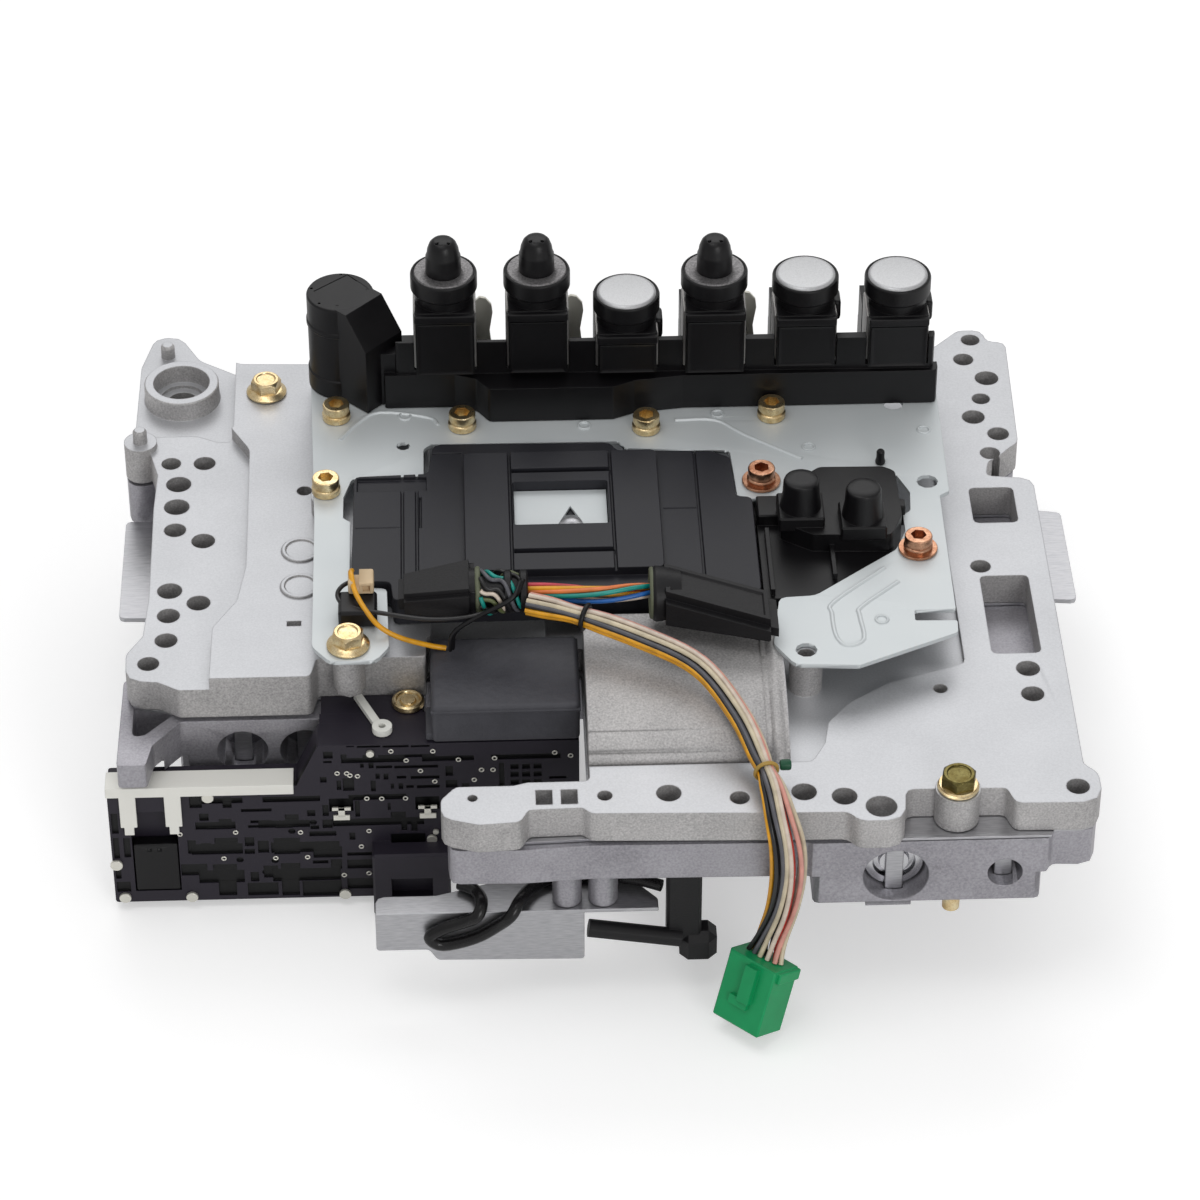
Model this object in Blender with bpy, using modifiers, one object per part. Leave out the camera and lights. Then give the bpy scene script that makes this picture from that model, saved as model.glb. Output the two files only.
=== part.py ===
"""Valve body of an automatic transmission, with its control unit and solenoids.

Lengths are in millimetres in the tables below and become metres where a mesh is made.
X runs to the right, Y away from the harness side, and Z = 0 is the face that meets the case.
"""

import math

import bmesh
import bpy
from mathutils import Matrix, Vector

MM = 0.001

for old in list(bpy.data.objects):
    bpy.data.objects.remove(old)

PARTS = bpy.data.collections.new("transmission_valve_body")
bpy.context.scene.collection.children.link(PARTS)

# Edges turned more than this many degrees are drawn sharp
SHARP_ANGLE = 35

# Fits
GAP = 0.3
SPOOL_CLEARANCE = 0.3

# Heights of the stack
LOWER_BOTTOM = 12.0
LOWER_TOP = 27.0
SEPARATOR_THICKNESS = 1.0
UPPER_BOTTOM = LOWER_TOP + GAP + SEPARATOR_THICKNESS + GAP
POCKET_FLOOR = 38.5
LOBE_TOP = 40.0
FACE_TOP = 41.0
PANEL_TOP = 46.0
BRACKET_TOP = 55.0
BRACKET_THICKNESS = 1.6
BRACKET_BOTTOM = BRACKET_TOP - BRACKET_THICKNESS

# Bolt holes of the upper casting: x, y, diameter
LEFT_HOLES = (
    (-155.3, 84.8, 7.2), (-143.0, 84.6, 8.0), (-152.1, 72.1, 9.2), (-152.3, 58.5, 9.3),
    (-152.4, 44.7, 8.0), (-142.0, 38.0, 8.5), (-153.0, 9.4, 8.9), (-142.5, 2.2, 8.4),
    (-152.9, -4.7, 8.1), (-153.2, -18.5, 8.0), (-158.9, -31.2, 7.6),
)
RIGHT_HOLES = (
    (147.3, 152.7, 7.1), (143.4, 140.1, 7.6), (151.0, 127.7, 8.9), (147.5, 114.6, 6.8),
    (143.5, 103.2, 8.5), (151.7, 92.4, 8.0), (147.4, 80.5, 7.4), (137.0, 13.2, 7.3),
    (147.7, -44.7, 8.3), (147.8, -58.5, 8.0), (116.1, -54.5, 5.0), (157.7, -107.6, 7.9),
)
FRONT_HOLES = (
    (19.4, -106.1, 8.5), (43.2, -109.3, 6.7), (-2.2, -106.6, 5.1), (65.0, -107.1, 8.6),
    (78.5, -109.8, 8.6), (90.5, -115.4, 10.6), (-46.8, -106.4, 3.4),
)
PANEL_HOLES = ((-105.6, 60.0, 5.5),)
HOLE_STEPS = 10
HIDDEN_HOLE_STEPS = 6

# Windows of the upper casting: x and y ranges
WINDOW_REAR = (137.2, 153.5, 38.5, 59.5)
WINDOW_FRONT = (136.0, 153.4, -36.2, 7.6)
WINDOW_RADIUS = 2.0

# Strainer port on the rear left lobe
PORT_X = -152.7
PORT_Y = 126.7
PORT_TOP = 47.5
PORT_OUTER = 27.6
PORT_BORE = 20.5
PORT_STEP = 39.0
PORT_HOLE = 11.0

# Studs
STUD_DIAMETER = 5.0
STUD_HEIGHT = 5.5
STUD_1 = (-159.1, 154.4)
STUD_2 = (-167.0, 95.5)
LUG_RADIUS = 6.0
LUG_TOP = 43.5
LUG_BOTTOM = 9.0

# Cast hump over the accumulator bank
HUMP_LEFT = -7.0
HUMP_RIGHT = 61.0
HUMP_FRONT = -90.0
HUMP_BACK = -24.0
HUMP_TOP = 52.6
HUMP_CREST = -47.0
RIB_WIDTH = 7.0
RIB_HEIGHT = 0.5

# Bolt of the front right boss
BOSS_X = 117.0
BOSS_Y = -108.1
BOSS_RADIUS = 7.6
BOSS_TOP = 42.0

# Bores of the right block: x, z, diameter
BLOCK_FRONT = -118.0
MAIN_BORE = (96.3, 11.6, 21.5)
PILOT_BORE = (133.5, 12.0, 12.0)
MAIN_DEPTH = 62.0
PILOT_DEPTH = 46.0
# Bores of the left block
LEFT_BLOCK_FRONT = -46.5
BLOCK_BACK = 29.5
SHIFT_BORES = ((-126.9, 13.0, 18.0), (-104.9, 13.0, 18.0))
SHIFT_DEPTH = 42.0
RETAINER_WIDTH = 6.0
RETAINER_THICKNESS = 1.6
RETAINER_DEPTH = 5.5
PLUG_LENGTH = 7.0

# Manual valve
MANUAL_Y = 21.5
MANUAL_Z = 13.5
MANUAL_DIAMETER = 13.0
MANUAL_LEFT = -158.0
MANUAL_LENGTH = 92.0
MANUAL_TRAVEL = 28.0

# Position switch: a board standing in front of the left block
BOARD_FRONT = -64.0
BOARD_THICKNESS = 12.0
BOARD_BACK = BOARD_FRONT + BOARD_THICKNESS
BOARD_LEFT = -174.0
BOARD_RIGHT = -57.0
BOARD_TOP = 11.5
BOARD_BOTTOM = -41.0
SHELF_TOP = 29.5
SHELF_LEFT = -100.0
SHELF_RIGHT = -9.5
SHELF_BACK = LEFT_BLOCK_FRONT - GAP
TONGUE_BACK = -37.0
TONGUE_BOTTOM = LOWER_TOP + GAP
CHANNEL_LEFT = BOARD_LEFT + 7.4
CHANNEL_WIDTH = 16.2
CHANNEL_RIGHT = CHANNEL_LEFT + CHANNEL_WIDTH
CHANNEL_BOTTOM = -36.0
CHANNEL_DEPTH = 5.0
SLIDER_HEIGHT = 21.5
SLIDER_TRAVEL = 14.0

# Fasteners
SOCKET_HEAD_DIAMETER = 10.0
SOCKET_HEAD_HEIGHT = 6.5
THREAD_DIAMETER = 6.0
SOCKET_SCREWS = (
    (-93.9, 92.0), (-47.6, 85.0), (19.9, 81.2), (66.4, 87.5), (-97.2, 47.2), (60.1, 47.5),
    (113.2, 5.9),
)
POST_RADIUS = 5.6
FLANGE_BOLT_FRONT = (-88.6, -41.0)
FLANGE_BOLT_REAR = (-120.7, 121.1)
OPEN_HOLE_POST = (69.6, -48.8)
BRASS_X = -68.6
BRASS_Y = -42.6
BRASS_SHANK = 4.0
BRASS_LENGTH = 8.0


def link(obj):
    PARTS.objects.link(obj)
    return obj


def paint(obj, colour, roughness, metallic):
    """Gives the object a material of its own."""
    material = bpy.data.materials.new(obj.name)
    material.use_nodes = True
    shader = material.node_tree.nodes["Principled BSDF"]
    shader.inputs["Base Color"].default_value = (*colour, 1)
    shader.inputs["Roughness"].default_value = roughness
    shader.inputs["Metallic"].default_value = metallic
    obj.data.materials.clear()
    obj.data.materials.append(material)
    return obj


ALUMINIUM = ((0.56, 0.56, 0.57), 0.42, 1.0)
CAST = ((0.40, 0.40, 0.41), 0.55, 1.0)
STEEL = ((0.42, 0.42, 0.44), 0.35, 1.0)
ZINC = ((0.62, 0.66, 0.67), 0.28, 1.0)
GOLD = ((0.62, 0.47, 0.22), 0.32, 1.0)
OLIVE = ((0.16, 0.14, 0.07), 0.40, 1.0)
BLACK = ((0.012, 0.012, 0.014), 0.42, 0.0)
RUBBER = ((0.012, 0.012, 0.012), 0.65, 0.0)
WHITE = ((0.60, 0.60, 0.57), 0.50, 0.0)
GREEN = ((0.01, 0.24, 0.09), 0.38, 0.0)


def arc(cx, cy, radius, start, end, steps):
    """Points of an arc, with its ends, from start to end in degrees."""
    turns = (math.radians(start + (end - start) * i / steps) for i in range(steps + 1))
    return [(cx + radius * math.cos(t), cy + radius * math.sin(t)) for t in turns]


def circle(x, y, diameter, steps):
    return arc(x, y, diameter / 2, 0, 360, steps)[:-1]


def rectangle(x0, x1, y0, y1, radius=0.0):
    return fillet([(x0, y0, radius), (x1, y0, radius), (x1, y1, radius), (x0, y1, radius)])


def fillet(corners, steps=2):
    """Outline from corners given as x, y and fillet radius."""
    points = []
    for i, (x, y, radius) in enumerate(corners):
        corner = Vector((x, y))
        before = Vector(corners[i - 1][:2]) - corner
        after = Vector(corners[(i + 1) % len(corners)][:2]) - corner
        if radius == 0:
            points.append(tuple(corner))
            continue
        half = before.angle(after) / 2
        reach = min(radius / math.tan(half), 0.46 * min(before.length, after.length))
        centre_distance = reach / math.cos(half)
        centre = corner + (before.normalized() + after.normalized()).normalized() * centre_distance
        first = corner + before.normalized() * reach - centre
        last = corner + after.normalized() * reach - centre
        start = math.atan2(first.y, first.x)
        turn = (math.atan2(last.y, last.x) - start + math.pi) % (2 * math.pi) - math.pi
        size = first.length
        for s in range(steps + 1):
            angle = start + turn * s / steps
            points.append((centre.x + size * math.cos(angle), centre.y + size * math.sin(angle)))
    return points


def shade(mesh):
    mesh.shade_smooth()
    mesh.set_sharp_from_angle(angle=math.radians(SHARP_ANGLE))


def finish_mesh(bm, name):
    """Turns a bmesh in millimetres into an object in metres."""
    bmesh.ops.recalc_face_normals(bm, faces=bm.faces)
    bmesh.ops.scale(bm, vec=(MM, MM, MM), verts=bm.verts)
    mesh = bpy.data.meshes.new(name)
    bm.to_mesh(mesh)
    bm.free()
    shade(mesh)
    return link(bpy.data.objects.new(name, mesh))


def prism(name, outline, low, high, holes=(), upright=False):
    """A flat outline given thickness; upright stands it in XZ, low and high then being Y."""
    curve = bpy.data.curves.new(name, "CURVE")
    curve.dimensions = "2D"
    curve.fill_mode = "BOTH"
    curve.extrude = (high - low) / 2
    for ring in (outline, *holes):
        spline = curve.splines.new("POLY")
        spline.points.add(len(ring) - 1)
        for point, (x, y) in zip(spline.points, ring):
            point.co = (x, y, 0, 1)
        spline.use_cyclic_u = True
    flat = bpy.data.objects.new(name, curve)
    link(flat)
    graph = bpy.context.evaluated_depsgraph_get()
    mesh = bpy.data.meshes.new_from_object(flat.evaluated_get(graph))
    bpy.data.objects.remove(flat)
    bm = bmesh.new()
    bm.from_mesh(mesh)
    bpy.data.meshes.remove(mesh)
    bmesh.ops.remove_doubles(bm, verts=bm.verts, dist=0.001)
    middle = (low + high) / 2
    if upright:
        bmesh.ops.rotate(bm, matrix=Matrix.Rotation(math.pi / 2, 3, "X"), verts=bm.verts)
        bmesh.ops.translate(bm, vec=(0, middle, 0), verts=bm.verts)
    else:
        bmesh.ops.translate(bm, vec=(0, 0, middle), verts=bm.verts)
    return finish_mesh(bm, name)


def box(name, x0, x1, y0, y1, z0, z1, bevel=0.0):
    bm = bmesh.new()
    bmesh.ops.create_cube(bm, size=1)
    bmesh.ops.scale(bm, vec=(x1 - x0, y1 - y0, z1 - z0), verts=bm.verts)
    bmesh.ops.translate(bm, vec=((x0 + x1) / 2, (y0 + y1) / 2, (z0 + z1) / 2), verts=bm.verts)
    if bevel:
        bmesh.ops.bevel(bm, geom=bm.edges, offset=bevel, segments=1, affect="EDGES")
    return finish_mesh(bm, name)


TURNS = {
    "Z": Matrix.Identity(3),
    "Y": Matrix.Rotation(-math.pi / 2, 3, "X"),
    "X": Matrix.Rotation(math.pi / 2, 3, "Y"),
}


def rod(name, centre, diameter, length, axis="Z", steps=12):
    """A cylinder that starts at centre and runs along the axis."""
    bm = bmesh.new()
    bmesh.ops.create_cone(
        bm, cap_ends=True, segments=steps, radius1=diameter / 2,
        radius2=diameter / 2, depth=length,
    )
    bmesh.ops.translate(bm, vec=(0, 0, length / 2), verts=bm.verts)
    bmesh.ops.rotate(bm, matrix=TURNS[axis], verts=bm.verts)
    bmesh.ops.translate(bm, vec=centre, verts=bm.verts)
    return finish_mesh(bm, name)


def turned(name, profile, centre, axis="Z", steps=16, ring=False):
    """A turned shape: profile holds radius and height, running down its outer side."""
    mesh = bpy.data.meshes.new(name)
    points = [(r * MM, 0, z * MM) for r, z in profile]
    edges = [(i, i + 1) for i in range(len(points) - 1)]
    if ring:
        edges.append((len(points) - 1, 0))
    mesh.from_pydata(points, edges, [])
    obj = link(bpy.data.objects.new(name, mesh))
    screw = obj.modifiers.new("turn", "SCREW")
    screw.axis = "Z"
    screw.steps = steps
    screw.render_steps = steps
    screw.use_merge_vertices = True
    screw.merge_threshold = 0.00001
    screw.use_smooth_shade = True
    graph = bpy.context.evaluated_depsgraph_get()
    solid = bpy.data.meshes.new_from_object(obj.evaluated_get(graph))
    bpy.data.objects.remove(obj)
    bm = bmesh.new()
    bm.from_mesh(solid)
    bpy.data.meshes.remove(solid)
    bmesh.ops.scale(bm, vec=(1 / MM, 1 / MM, 1 / MM), verts=bm.verts)
    bmesh.ops.rotate(bm, matrix=TURNS[axis], verts=bm.verts)
    bmesh.ops.translate(bm, vec=centre, verts=bm.verts)
    return finish_mesh(bm, name)


def combine(target, tools, operation, solver):
    """Boolean steps, applied at once so that the result gets its own sharp edges."""
    for tool in tools:
        modifier = target.modifiers.new(f"{operation.lower()}_{tool.name}", "BOOLEAN")
        modifier.operation = operation
        modifier.object = tool
        modifier.solver = solver
    graph = bpy.context.evaluated_depsgraph_get()
    mesh = bpy.data.meshes.new_from_object(target.evaluated_get(graph))
    target.modifiers.clear()
    target.data = mesh
    shade(mesh)
    for tool in tools:
        bpy.data.objects.remove(tool)
    return target


def unite(target, *tools, solver="EXACT"):
    return combine(target, tools, "UNION", solver)


def cut(target, *tools, solver="EXACT"):
    return combine(target, tools, "DIFFERENCE", solver)


# Edge that the whole stack shares, from the front right corner round the rear to the left side
RIM = (
    (165.5, -115.8, 7), (165.5, -101, 6), (161, -96, 3), (161.5, 64.5, 5), (144.5, 66.8, 2),
    (146, 75, 4), (158.5, 87, 5), (160.5, 150.8, 5), (153.5, 151.5, 3), (152, 159, 4),
    (143, 159, 4), (133, 148.5, 4), (96, 141, 3), (-106, 139, 3), (-131, 140, 5), (-147, 151, 8),
    (-155, 167, 8), (-164.5, 166, 5), (-169, 147, 8), (-169.5, 104, 5), (-163, 90, 3),
    (-160, 78, 3), (-160.7, 58, 3), (-160.2, 6, 3), (-161.5, -16, 3),
)
RIM_INSET = 0.8


def inset(points, distance):
    """Moves an outline that runs counter-clockwise inwards."""
    moved = []
    for i, (x, y) in enumerate(points):
        here = Vector((x, y))
        along_in = (here - Vector(points[i - 1])).normalized()
        along_out = (Vector(points[(i + 1) % len(points)]) - here).normalized()
        normal = Vector((-along_in.y - along_out.y, along_in.x + along_out.x)).normalized()
        moved.append(tuple(here + normal * distance))
    return moved


def upper_outline():
    """Plan of the upper casting, from its front left lobe round by the front and the right."""
    strip_left = -57.5
    strip_back = -99.0
    return fillet([
        (-167, -26, 6), (-166.5, -40, 6), (-155, -41.5, 2), (-148, -46, 3),
        (-102, -46, 2), (-100, TONGUE_BACK + GAP, 1), (-62, TONGUE_BACK + GAP, 1), (-62, -25.2, 2),
        (HUMP_LEFT, -25.2, 1),
        (HUMP_LEFT, strip_back, 2), (-28, strip_back, 2), (-33, strip_back - 1.5, 2),
        (strip_left + 5, strip_back - 1.5, 3), (strip_left, -107, 4), (strip_left, -116, 5),
        (-45, -120, 5), (-31, -119, 3), (-28, -113, 2), (-10, -112.5, 2), (-7, -115.5, 3),
        (60, -117.5, 0), (79, -117.8, 4), (83, -122.5, 5), (98, -122.5, 6), (99.5, -107, 3),
        (133.5, -107.5, 2), (136, -115.3, 3), *RIM,
    ])


def upper_casting():
    through = LEFT_HOLES + RIGHT_HOLES + FRONT_HOLES + PANEL_HOLES
    holes = [circle(x, y, d, HOLE_STEPS) for x, y, d in through]
    holes += [rectangle(*WINDOW_REAR, WINDOW_RADIUS), rectangle(*WINDOW_FRONT, WINDOW_RADIUS)]
    body = prism("upper_casting", upper_outline(), UPPER_BOTTOM, PANEL_TOP, holes)
    above = PANEL_TOP + 14
    panel_edge = fillet([
        (-134.3, 180, 0), (-133.6, 100, 8), (-126.2, 86, 8), (-125.8, 17, 5), (-128.5, -3, 5),
        (-136.8, -18, 5), (-137.4, -80, 0), (-200, -80, 0), (-200, 180, 0),
    ])
    left_level = prism("left_pad_level", panel_edge, FACE_TOP, above)
    lobe_edge = fillet([
        (-200, 101.5, 0), (-146, 101.5, 8), (-132.5, 94, 4), (-132.8, 180, 0), (-200, 180, 0),
    ])
    lobe_level = prism("lobe_level", lobe_edge, LOBE_TOP, above)
    right_edge = [
        (-60.3, 190), (210, 190), (210, -210), (-75, -210), (-75, -62), (-60.3, -62),
    ]
    right_level = prism("right_level", right_edge, FACE_TOP, above + 1)
    recess_edge = fillet([
        (-55, 128, 3), (126, 128, 3), (126, -41, 3), (98, -51, 6), (84, -61, 5), (76, -71, 4),
        (74, -82, 4), (69, -91.5, 3), (-20, -91.5, 2), (-20, -10, 2), (-55, -10, 3),
    ])
    recess = prism("recess", recess_edge, POCKET_FLOOR, above)
    comb = [
        box(f"comb_{i}", x, x + 5.6, -110.5, -103, POCKET_FLOOR - 4, above)
        for i, x in enumerate((-25.5, -17.0))
    ]
    # The many holes of this body defeat the exact solver, so all its steps use the other one
    cut(body, left_level, lobe_level, right_level, recess, *comb, solver="MANIFOLD")
    unite(body, *upper_bosses(), hump(), hump_rib(), solver="MANIFOLD")
    port = turned("port", [
        (0, above), (PORT_BORE / 2, above), (PORT_BORE / 2, PORT_STEP), (PORT_HOLE / 2, PORT_STEP),
        (PORT_HOLE / 2, UPPER_BOTTOM - 5), (0, UPPER_BOTTOM - 5),
    ], (PORT_X, PORT_Y, 0), steps=16)
    shank = rod("boss_hole", (BOSS_X, BOSS_Y, 0), THREAD_DIAMETER + 2 * GAP, above, steps=12)
    screws = [screw_hole(i, x, y) for i, (x, y) in enumerate(SOCKET_SCREWS)]
    bolts = [
        rod("bolt_hole_front", (*FLANGE_BOLT_FRONT, 40), THREAD_DIAMETER + 2 * GAP, 30, steps=8),
        rod("bolt_hole_rear", (*FLANGE_BOLT_REAR, 36), THREAD_DIAMETER + 2 * GAP, 30, steps=8),
        rod("post_hole", (*OPEN_HOLE_POST, 40), THREAD_DIAMETER, 30, steps=12),
    ]
    cut(body, port, shank, *screws, *bolts, solver="MANIFOLD")
    unite(body, stud(1, *STUD_1, LOBE_TOP), stud(2, *STUD_2, LUG_TOP), solver="MANIFOLD")
    return paint(body, *ALUMINIUM)


def screw_hole(index, x, y):
    diameter = THREAD_DIAMETER + 2 * GAP
    return rod(f"screw_hole_{index}", (x, y, PANEL_TOP - 5), diameter, 30, steps=8)


def upper_bosses():
    """Posts, lugs and rings cast on the upper casting."""
    posts = [
        rod(f"post_{i}", (x, y, POCKET_FLOOR - 2), 2 * POST_RADIUS,
            BRACKET_BOTTOM - GAP - POCKET_FLOOR + 2, steps=8)
        for i, (x, y) in enumerate((*SOCKET_SCREWS, FLANGE_BOLT_FRONT, OPEN_HOLE_POST))
    ]
    ring = rod("port_ring", (PORT_X, PORT_Y, LOBE_TOP - 2), PORT_OUTER, PORT_TOP - LOBE_TOP + 2,
               steps=16)
    lug = rod("stud_lug", (*STUD_2, UPPER_BOTTOM), 2 * LUG_RADIUS, LUG_TOP - UPPER_BOTTOM)
    boss = rod("bolt_boss", (BOSS_X, BOSS_Y, UPPER_BOTTOM), 2 * BOSS_RADIUS,
               BOSS_TOP - UPPER_BOTTOM, steps=12)
    return posts + [ring, lug, boss]


def hump_profile(grow):
    """Section of the hump in YZ: a steep front that rounds over to its crest."""
    points = [(HUMP_BACK, POCKET_FLOOR - 3), (HUMP_BACK, HUMP_TOP + grow)]
    steps = 5
    for i in range(steps + 1):
        angle = math.pi / 2 * i / steps
        y = HUMP_CREST + (HUMP_FRONT - grow - HUMP_CREST) * math.sin(angle)
        z = POCKET_FLOOR + (HUMP_TOP + grow - POCKET_FLOOR) * math.cos(angle) ** 0.8
        points.append((y, z))
    points.append((HUMP_FRONT - grow, POCKET_FLOOR - 3))
    return points


def along_x(name, profile, x0, x1):
    """A YZ profile carried along X."""
    body = prism(name, profile, 0, x1 - x0)
    turn = Matrix(((0, 0, 1), (1, 0, 0), (0, 1, 0))).to_4x4()
    body.data.transform(Matrix.Translation((x0 * MM, 0, 0)) @ turn)
    return body


def hump():
    return along_x("hump", hump_profile(0), HUMP_LEFT, HUMP_RIGHT)


def hump_rib():
    return along_x("hump_rib", hump_profile(RIB_HEIGHT), HUMP_RIGHT - RIB_WIDTH, HUMP_RIGHT + 0.5)


def separator_outline():
    return inset(fillet([
        (-167, -26, 5), (-166, -40, 5), (-147, -44.5, 3), (-101, -44.5, 2),
        (-101, TONGUE_BACK - RIM_INSET + GAP, 1), (-62, TONGUE_BACK - RIM_INSET + GAP, 1), (-62, -27, 2),
        (-8.5, -27, 2), (-8.5, -101, 2), (-55.5, -102, 5), (-55.5, -117, 5), (-8, -115, 2),
        (87.5, -117, 2), (89, BLOCK_FRONT - 0.5, 2), (149, BLOCK_FRONT - 0.5, 1),
        (150, BLOCK_FRONT + 2.5, 1), *RIM,
    ]), RIM_INSET)


def stack_holes():
    through = LEFT_HOLES + RIGHT_HOLES + FRONT_HOLES[:5] + FRONT_HOLES[6:]
    holes = [circle(x, y, d, HIDDEN_HOLE_STEPS) for x, y, d in through]
    holes.append(circle(BOSS_X, BOSS_Y, THREAD_DIAMETER + 2 * GAP, 12))
    return holes


def separator_plate():
    windows = [rectangle(*WINDOW_REAR, WINDOW_RADIUS), rectangle(*WINDOW_FRONT, WINDOW_RADIUS)]
    plate = prism("separator_plate", separator_outline(), LOWER_TOP + GAP,
                  LOWER_TOP + GAP + SEPARATOR_THICKNESS, stack_holes() + windows)
    return paint(plate, *STEEL)


def lower_outline():
    return inset(fillet([
        (-169.5, -24, 3), (-170, -70, 2), (-158.5, -70, 2), (-156.5, -59, 3), (-147.5, -47.3, 2),
        (-62.5, LEFT_BLOCK_FRONT - RIM_INSET, 2), (-62.5, -28.5, 2), (-7, -28.5, 2), (-7, -101.5, 2),
        (-33, -101.5, 2), (-53, -102, 4), (-56.5, -108, 4), (-55.5, -118, 4), (-30, -118.5, 3),
        (-8, -117, 3), (66, -118, 2), (67.5, BLOCK_FRONT - RIM_INSET, 2),
        (148, BLOCK_FRONT - RIM_INSET, 2), (150, -115, 2), *RIM,
    ]), RIM_INSET)


def bore_cutter(name, x, front, z, diameter, depth):
    """A bore that runs away from the front face, with the slot for its retainer."""
    hole = rod(f"{name}_bore", (x, front - 5, z), diameter, depth + 5, axis="Y", steps=14)
    y0 = front + RETAINER_DEPTH
    half = RETAINER_WIDTH / 2 + GAP
    top = LOWER_TOP + 3
    slot = box(f"{name}_slot", x - half, x + half, y0 - GAP, y0 + RETAINER_THICKNESS + GAP,
               z - diameter / 2 - 0.6, top)
    return [hole, slot]


def lower_casting():
    triangle = fillet([(-164.5, -38, 1), (-164.5, -54, 2), (-160, -53, 2), (-151, -43, 2),
                       (-151, -38, 2)])
    body = prism("lower_casting", lower_outline(), LOWER_BOTTOM, LOWER_TOP,
                 stack_holes() + [triangle])
    right_block = prism("right_block", fillet([
        (68.3, BLOCK_FRONT + 0.02, 2), (146, BLOCK_FRONT + 0.02, 2), (146, -62, 4), (68.3, -62, 4),
    ]), 0, LOWER_TOP - 0.5)
    centre_block = prism("centre_block", rectangle(-64, 66, -18, BLOCK_BACK, 3), 0,
                         LOWER_BOTTOM + 4)
    left_block = prism("left_block", rectangle(-149, -63, LEFT_BLOCK_FRONT + 0.02, BLOCK_BACK, 3),
                       0, LOWER_TOP - 0.5)
    rear_block = prism("rear_block", rectangle(-140, 128, 96, 138, 6), 0, LOWER_BOTTOM + 4)
    foot = box("foot", 86.5, 102, BLOCK_FRONT + 1, -104, -2.6, 5)
    posts = [
        rod(f"sensor_post_{i}", (x, SENSOR_POST_Y, SENSOR_SHELF_TOP + GAP), SENSOR_POST_DIAMETER,
            LOWER_BOTTOM + 4 - SENSOR_SHELF_TOP - GAP)
        for i, x in enumerate(SENSOR_POSTS)
    ]
    lug = rod("lower_stud_lug", (*STUD_2, LUG_BOTTOM), 2 * LUG_RADIUS - 0.2, LOWER_TOP - LUG_BOTTOM)
    unite(body, right_block, centre_block, left_block, rear_block, foot, *posts, lug)
    bores = bore_cutter("main", MAIN_BORE[0], BLOCK_FRONT, MAIN_BORE[1], MAIN_BORE[2], MAIN_DEPTH)
    bores += bore_cutter("pilot", PILOT_BORE[0], BLOCK_FRONT, PILOT_BORE[1], PILOT_BORE[2],
                         PILOT_DEPTH)
    for i, (x, z, diameter) in enumerate(SHIFT_BORES):
        bores += bore_cutter(f"shift_{i}", x, LEFT_BLOCK_FRONT, z, diameter, SHIFT_DEPTH)
    manual = rod("manual_bore", (MANUAL_LEFT - 10, MANUAL_Y, MANUAL_Z),
                 MANUAL_DIAMETER + 2 * SPOOL_CLEARANCE,
                 MANUAL_LENGTH + MANUAL_TRAVEL + 12, axis="X", steps=12)
    bolt = rod("case_bolt_hole", (BOSS_X, BOSS_Y, -5), THREAD_DIAMETER + 2 * GAP, 40, steps=12)
    deep = [
        rod(f"deep_hole_{i}", (x, y, -1), diameter, LOWER_TOP, steps=HIDDEN_HOLE_STEPS)
        for i, (x, y, diameter) in enumerate((LEFT_HOLES[7], FRONT_HOLES[4]))
    ]
    flange = box("flange_underside", -175, -154, -75, LEFT_BLOCK_FRONT - 3, 5, 17)
    brass = rod("brass_hole", (BRASS_X, BRASS_Y, SHELF_TOP - BRASS_LENGTH - 1),
                BRASS_SHANK + 2 * GAP, 20, steps=8)
    cut(body, *bores, manual, bolt, flange, brass, *deep)
    return paint(body, *CAST)


# Bracket of the speed sensor, under the front strip
SENSOR_POSTS = (-15.2, -2.8)
SENSOR_POST_DIAMETER = 10.0
SENSOR_POST_Y = -107.0
SENSOR_SHELF_TOP = -5.0
SENSOR_BRACKET_FRONT = -113.0
SHEET = 1.5

# Plate under the lower casting whose ends stand out as ears
EAR_PLATE_TOP = LOWER_BOTTOM - GAP
EAR_PLATE_THICKNESS = 1.8
EAR_LEFT = -174.0
EAR_RIGHT = 175.5
EAR_REACH = 14.0


def support_plate():
    outline = fillet([
        (EAR_LEFT, 31, 2), (EAR_LEFT + EAR_REACH, 30.5, 2), (EAR_RIGHT - EAR_REACH, 30.5, 2),
        (EAR_RIGHT, 29, 2), (EAR_RIGHT, 81.5, 2), (EAR_RIGHT - EAR_REACH, 84, 2),
        (EAR_LEFT + EAR_REACH, 87.5, 2), (EAR_LEFT, 88.5, 2),
    ])
    plate = prism("support_plate", outline, EAR_PLATE_TOP - EAR_PLATE_THICKNESS, EAR_PLATE_TOP)
    return paint(plate, *STEEL)


def bracket_outline():
    return fillet([
        (-104, 128, 2), (-101.3, 31, 0), (-101.2, -41, 5), (-95, -49.3, 4), (-79, -49.3, 4),
        (-74.5, -42, 4), (-75.3, -9.5, 2), (-88.4, -8.5, 2), (-88.4, 29, 1), (-91, 31.5, 1),
        (-91, 43.5, 1), (-88, 54.6, 2), (-62, 55.2, 1.5), (-62, 72, 3), (-59, 74.6, 1),
        (9.5, 74, 1), (12, 69.6, 2), (49.8, 67.2, 2), (51, 38, 1.5), (65, 37.2, 2), (82, 51.7, 4),
        (109, 50.9, 2), (113.4, 39.6, 3), (112.6, 28.6, 2), (109.7, 26.2, 1), (109.7, 16.7, 2),
        (105.5, 6.2, 4), (75, -18.8, 6), (62.2, -19.6, 3), (58.5, -45, 3), (65.2, -56.4, 4),
        (87.2, -57.8, 3), (123, -41, 2), (123.4, -34.4, 0.8), (108.6, -34, 0.8),
        (108.9, -28.3, 0.8), (123.4, -28.2, 0.8), (124, 37.2, 1), (127.6, 39.8, 1), (129, 128, 2),
    ])


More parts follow.
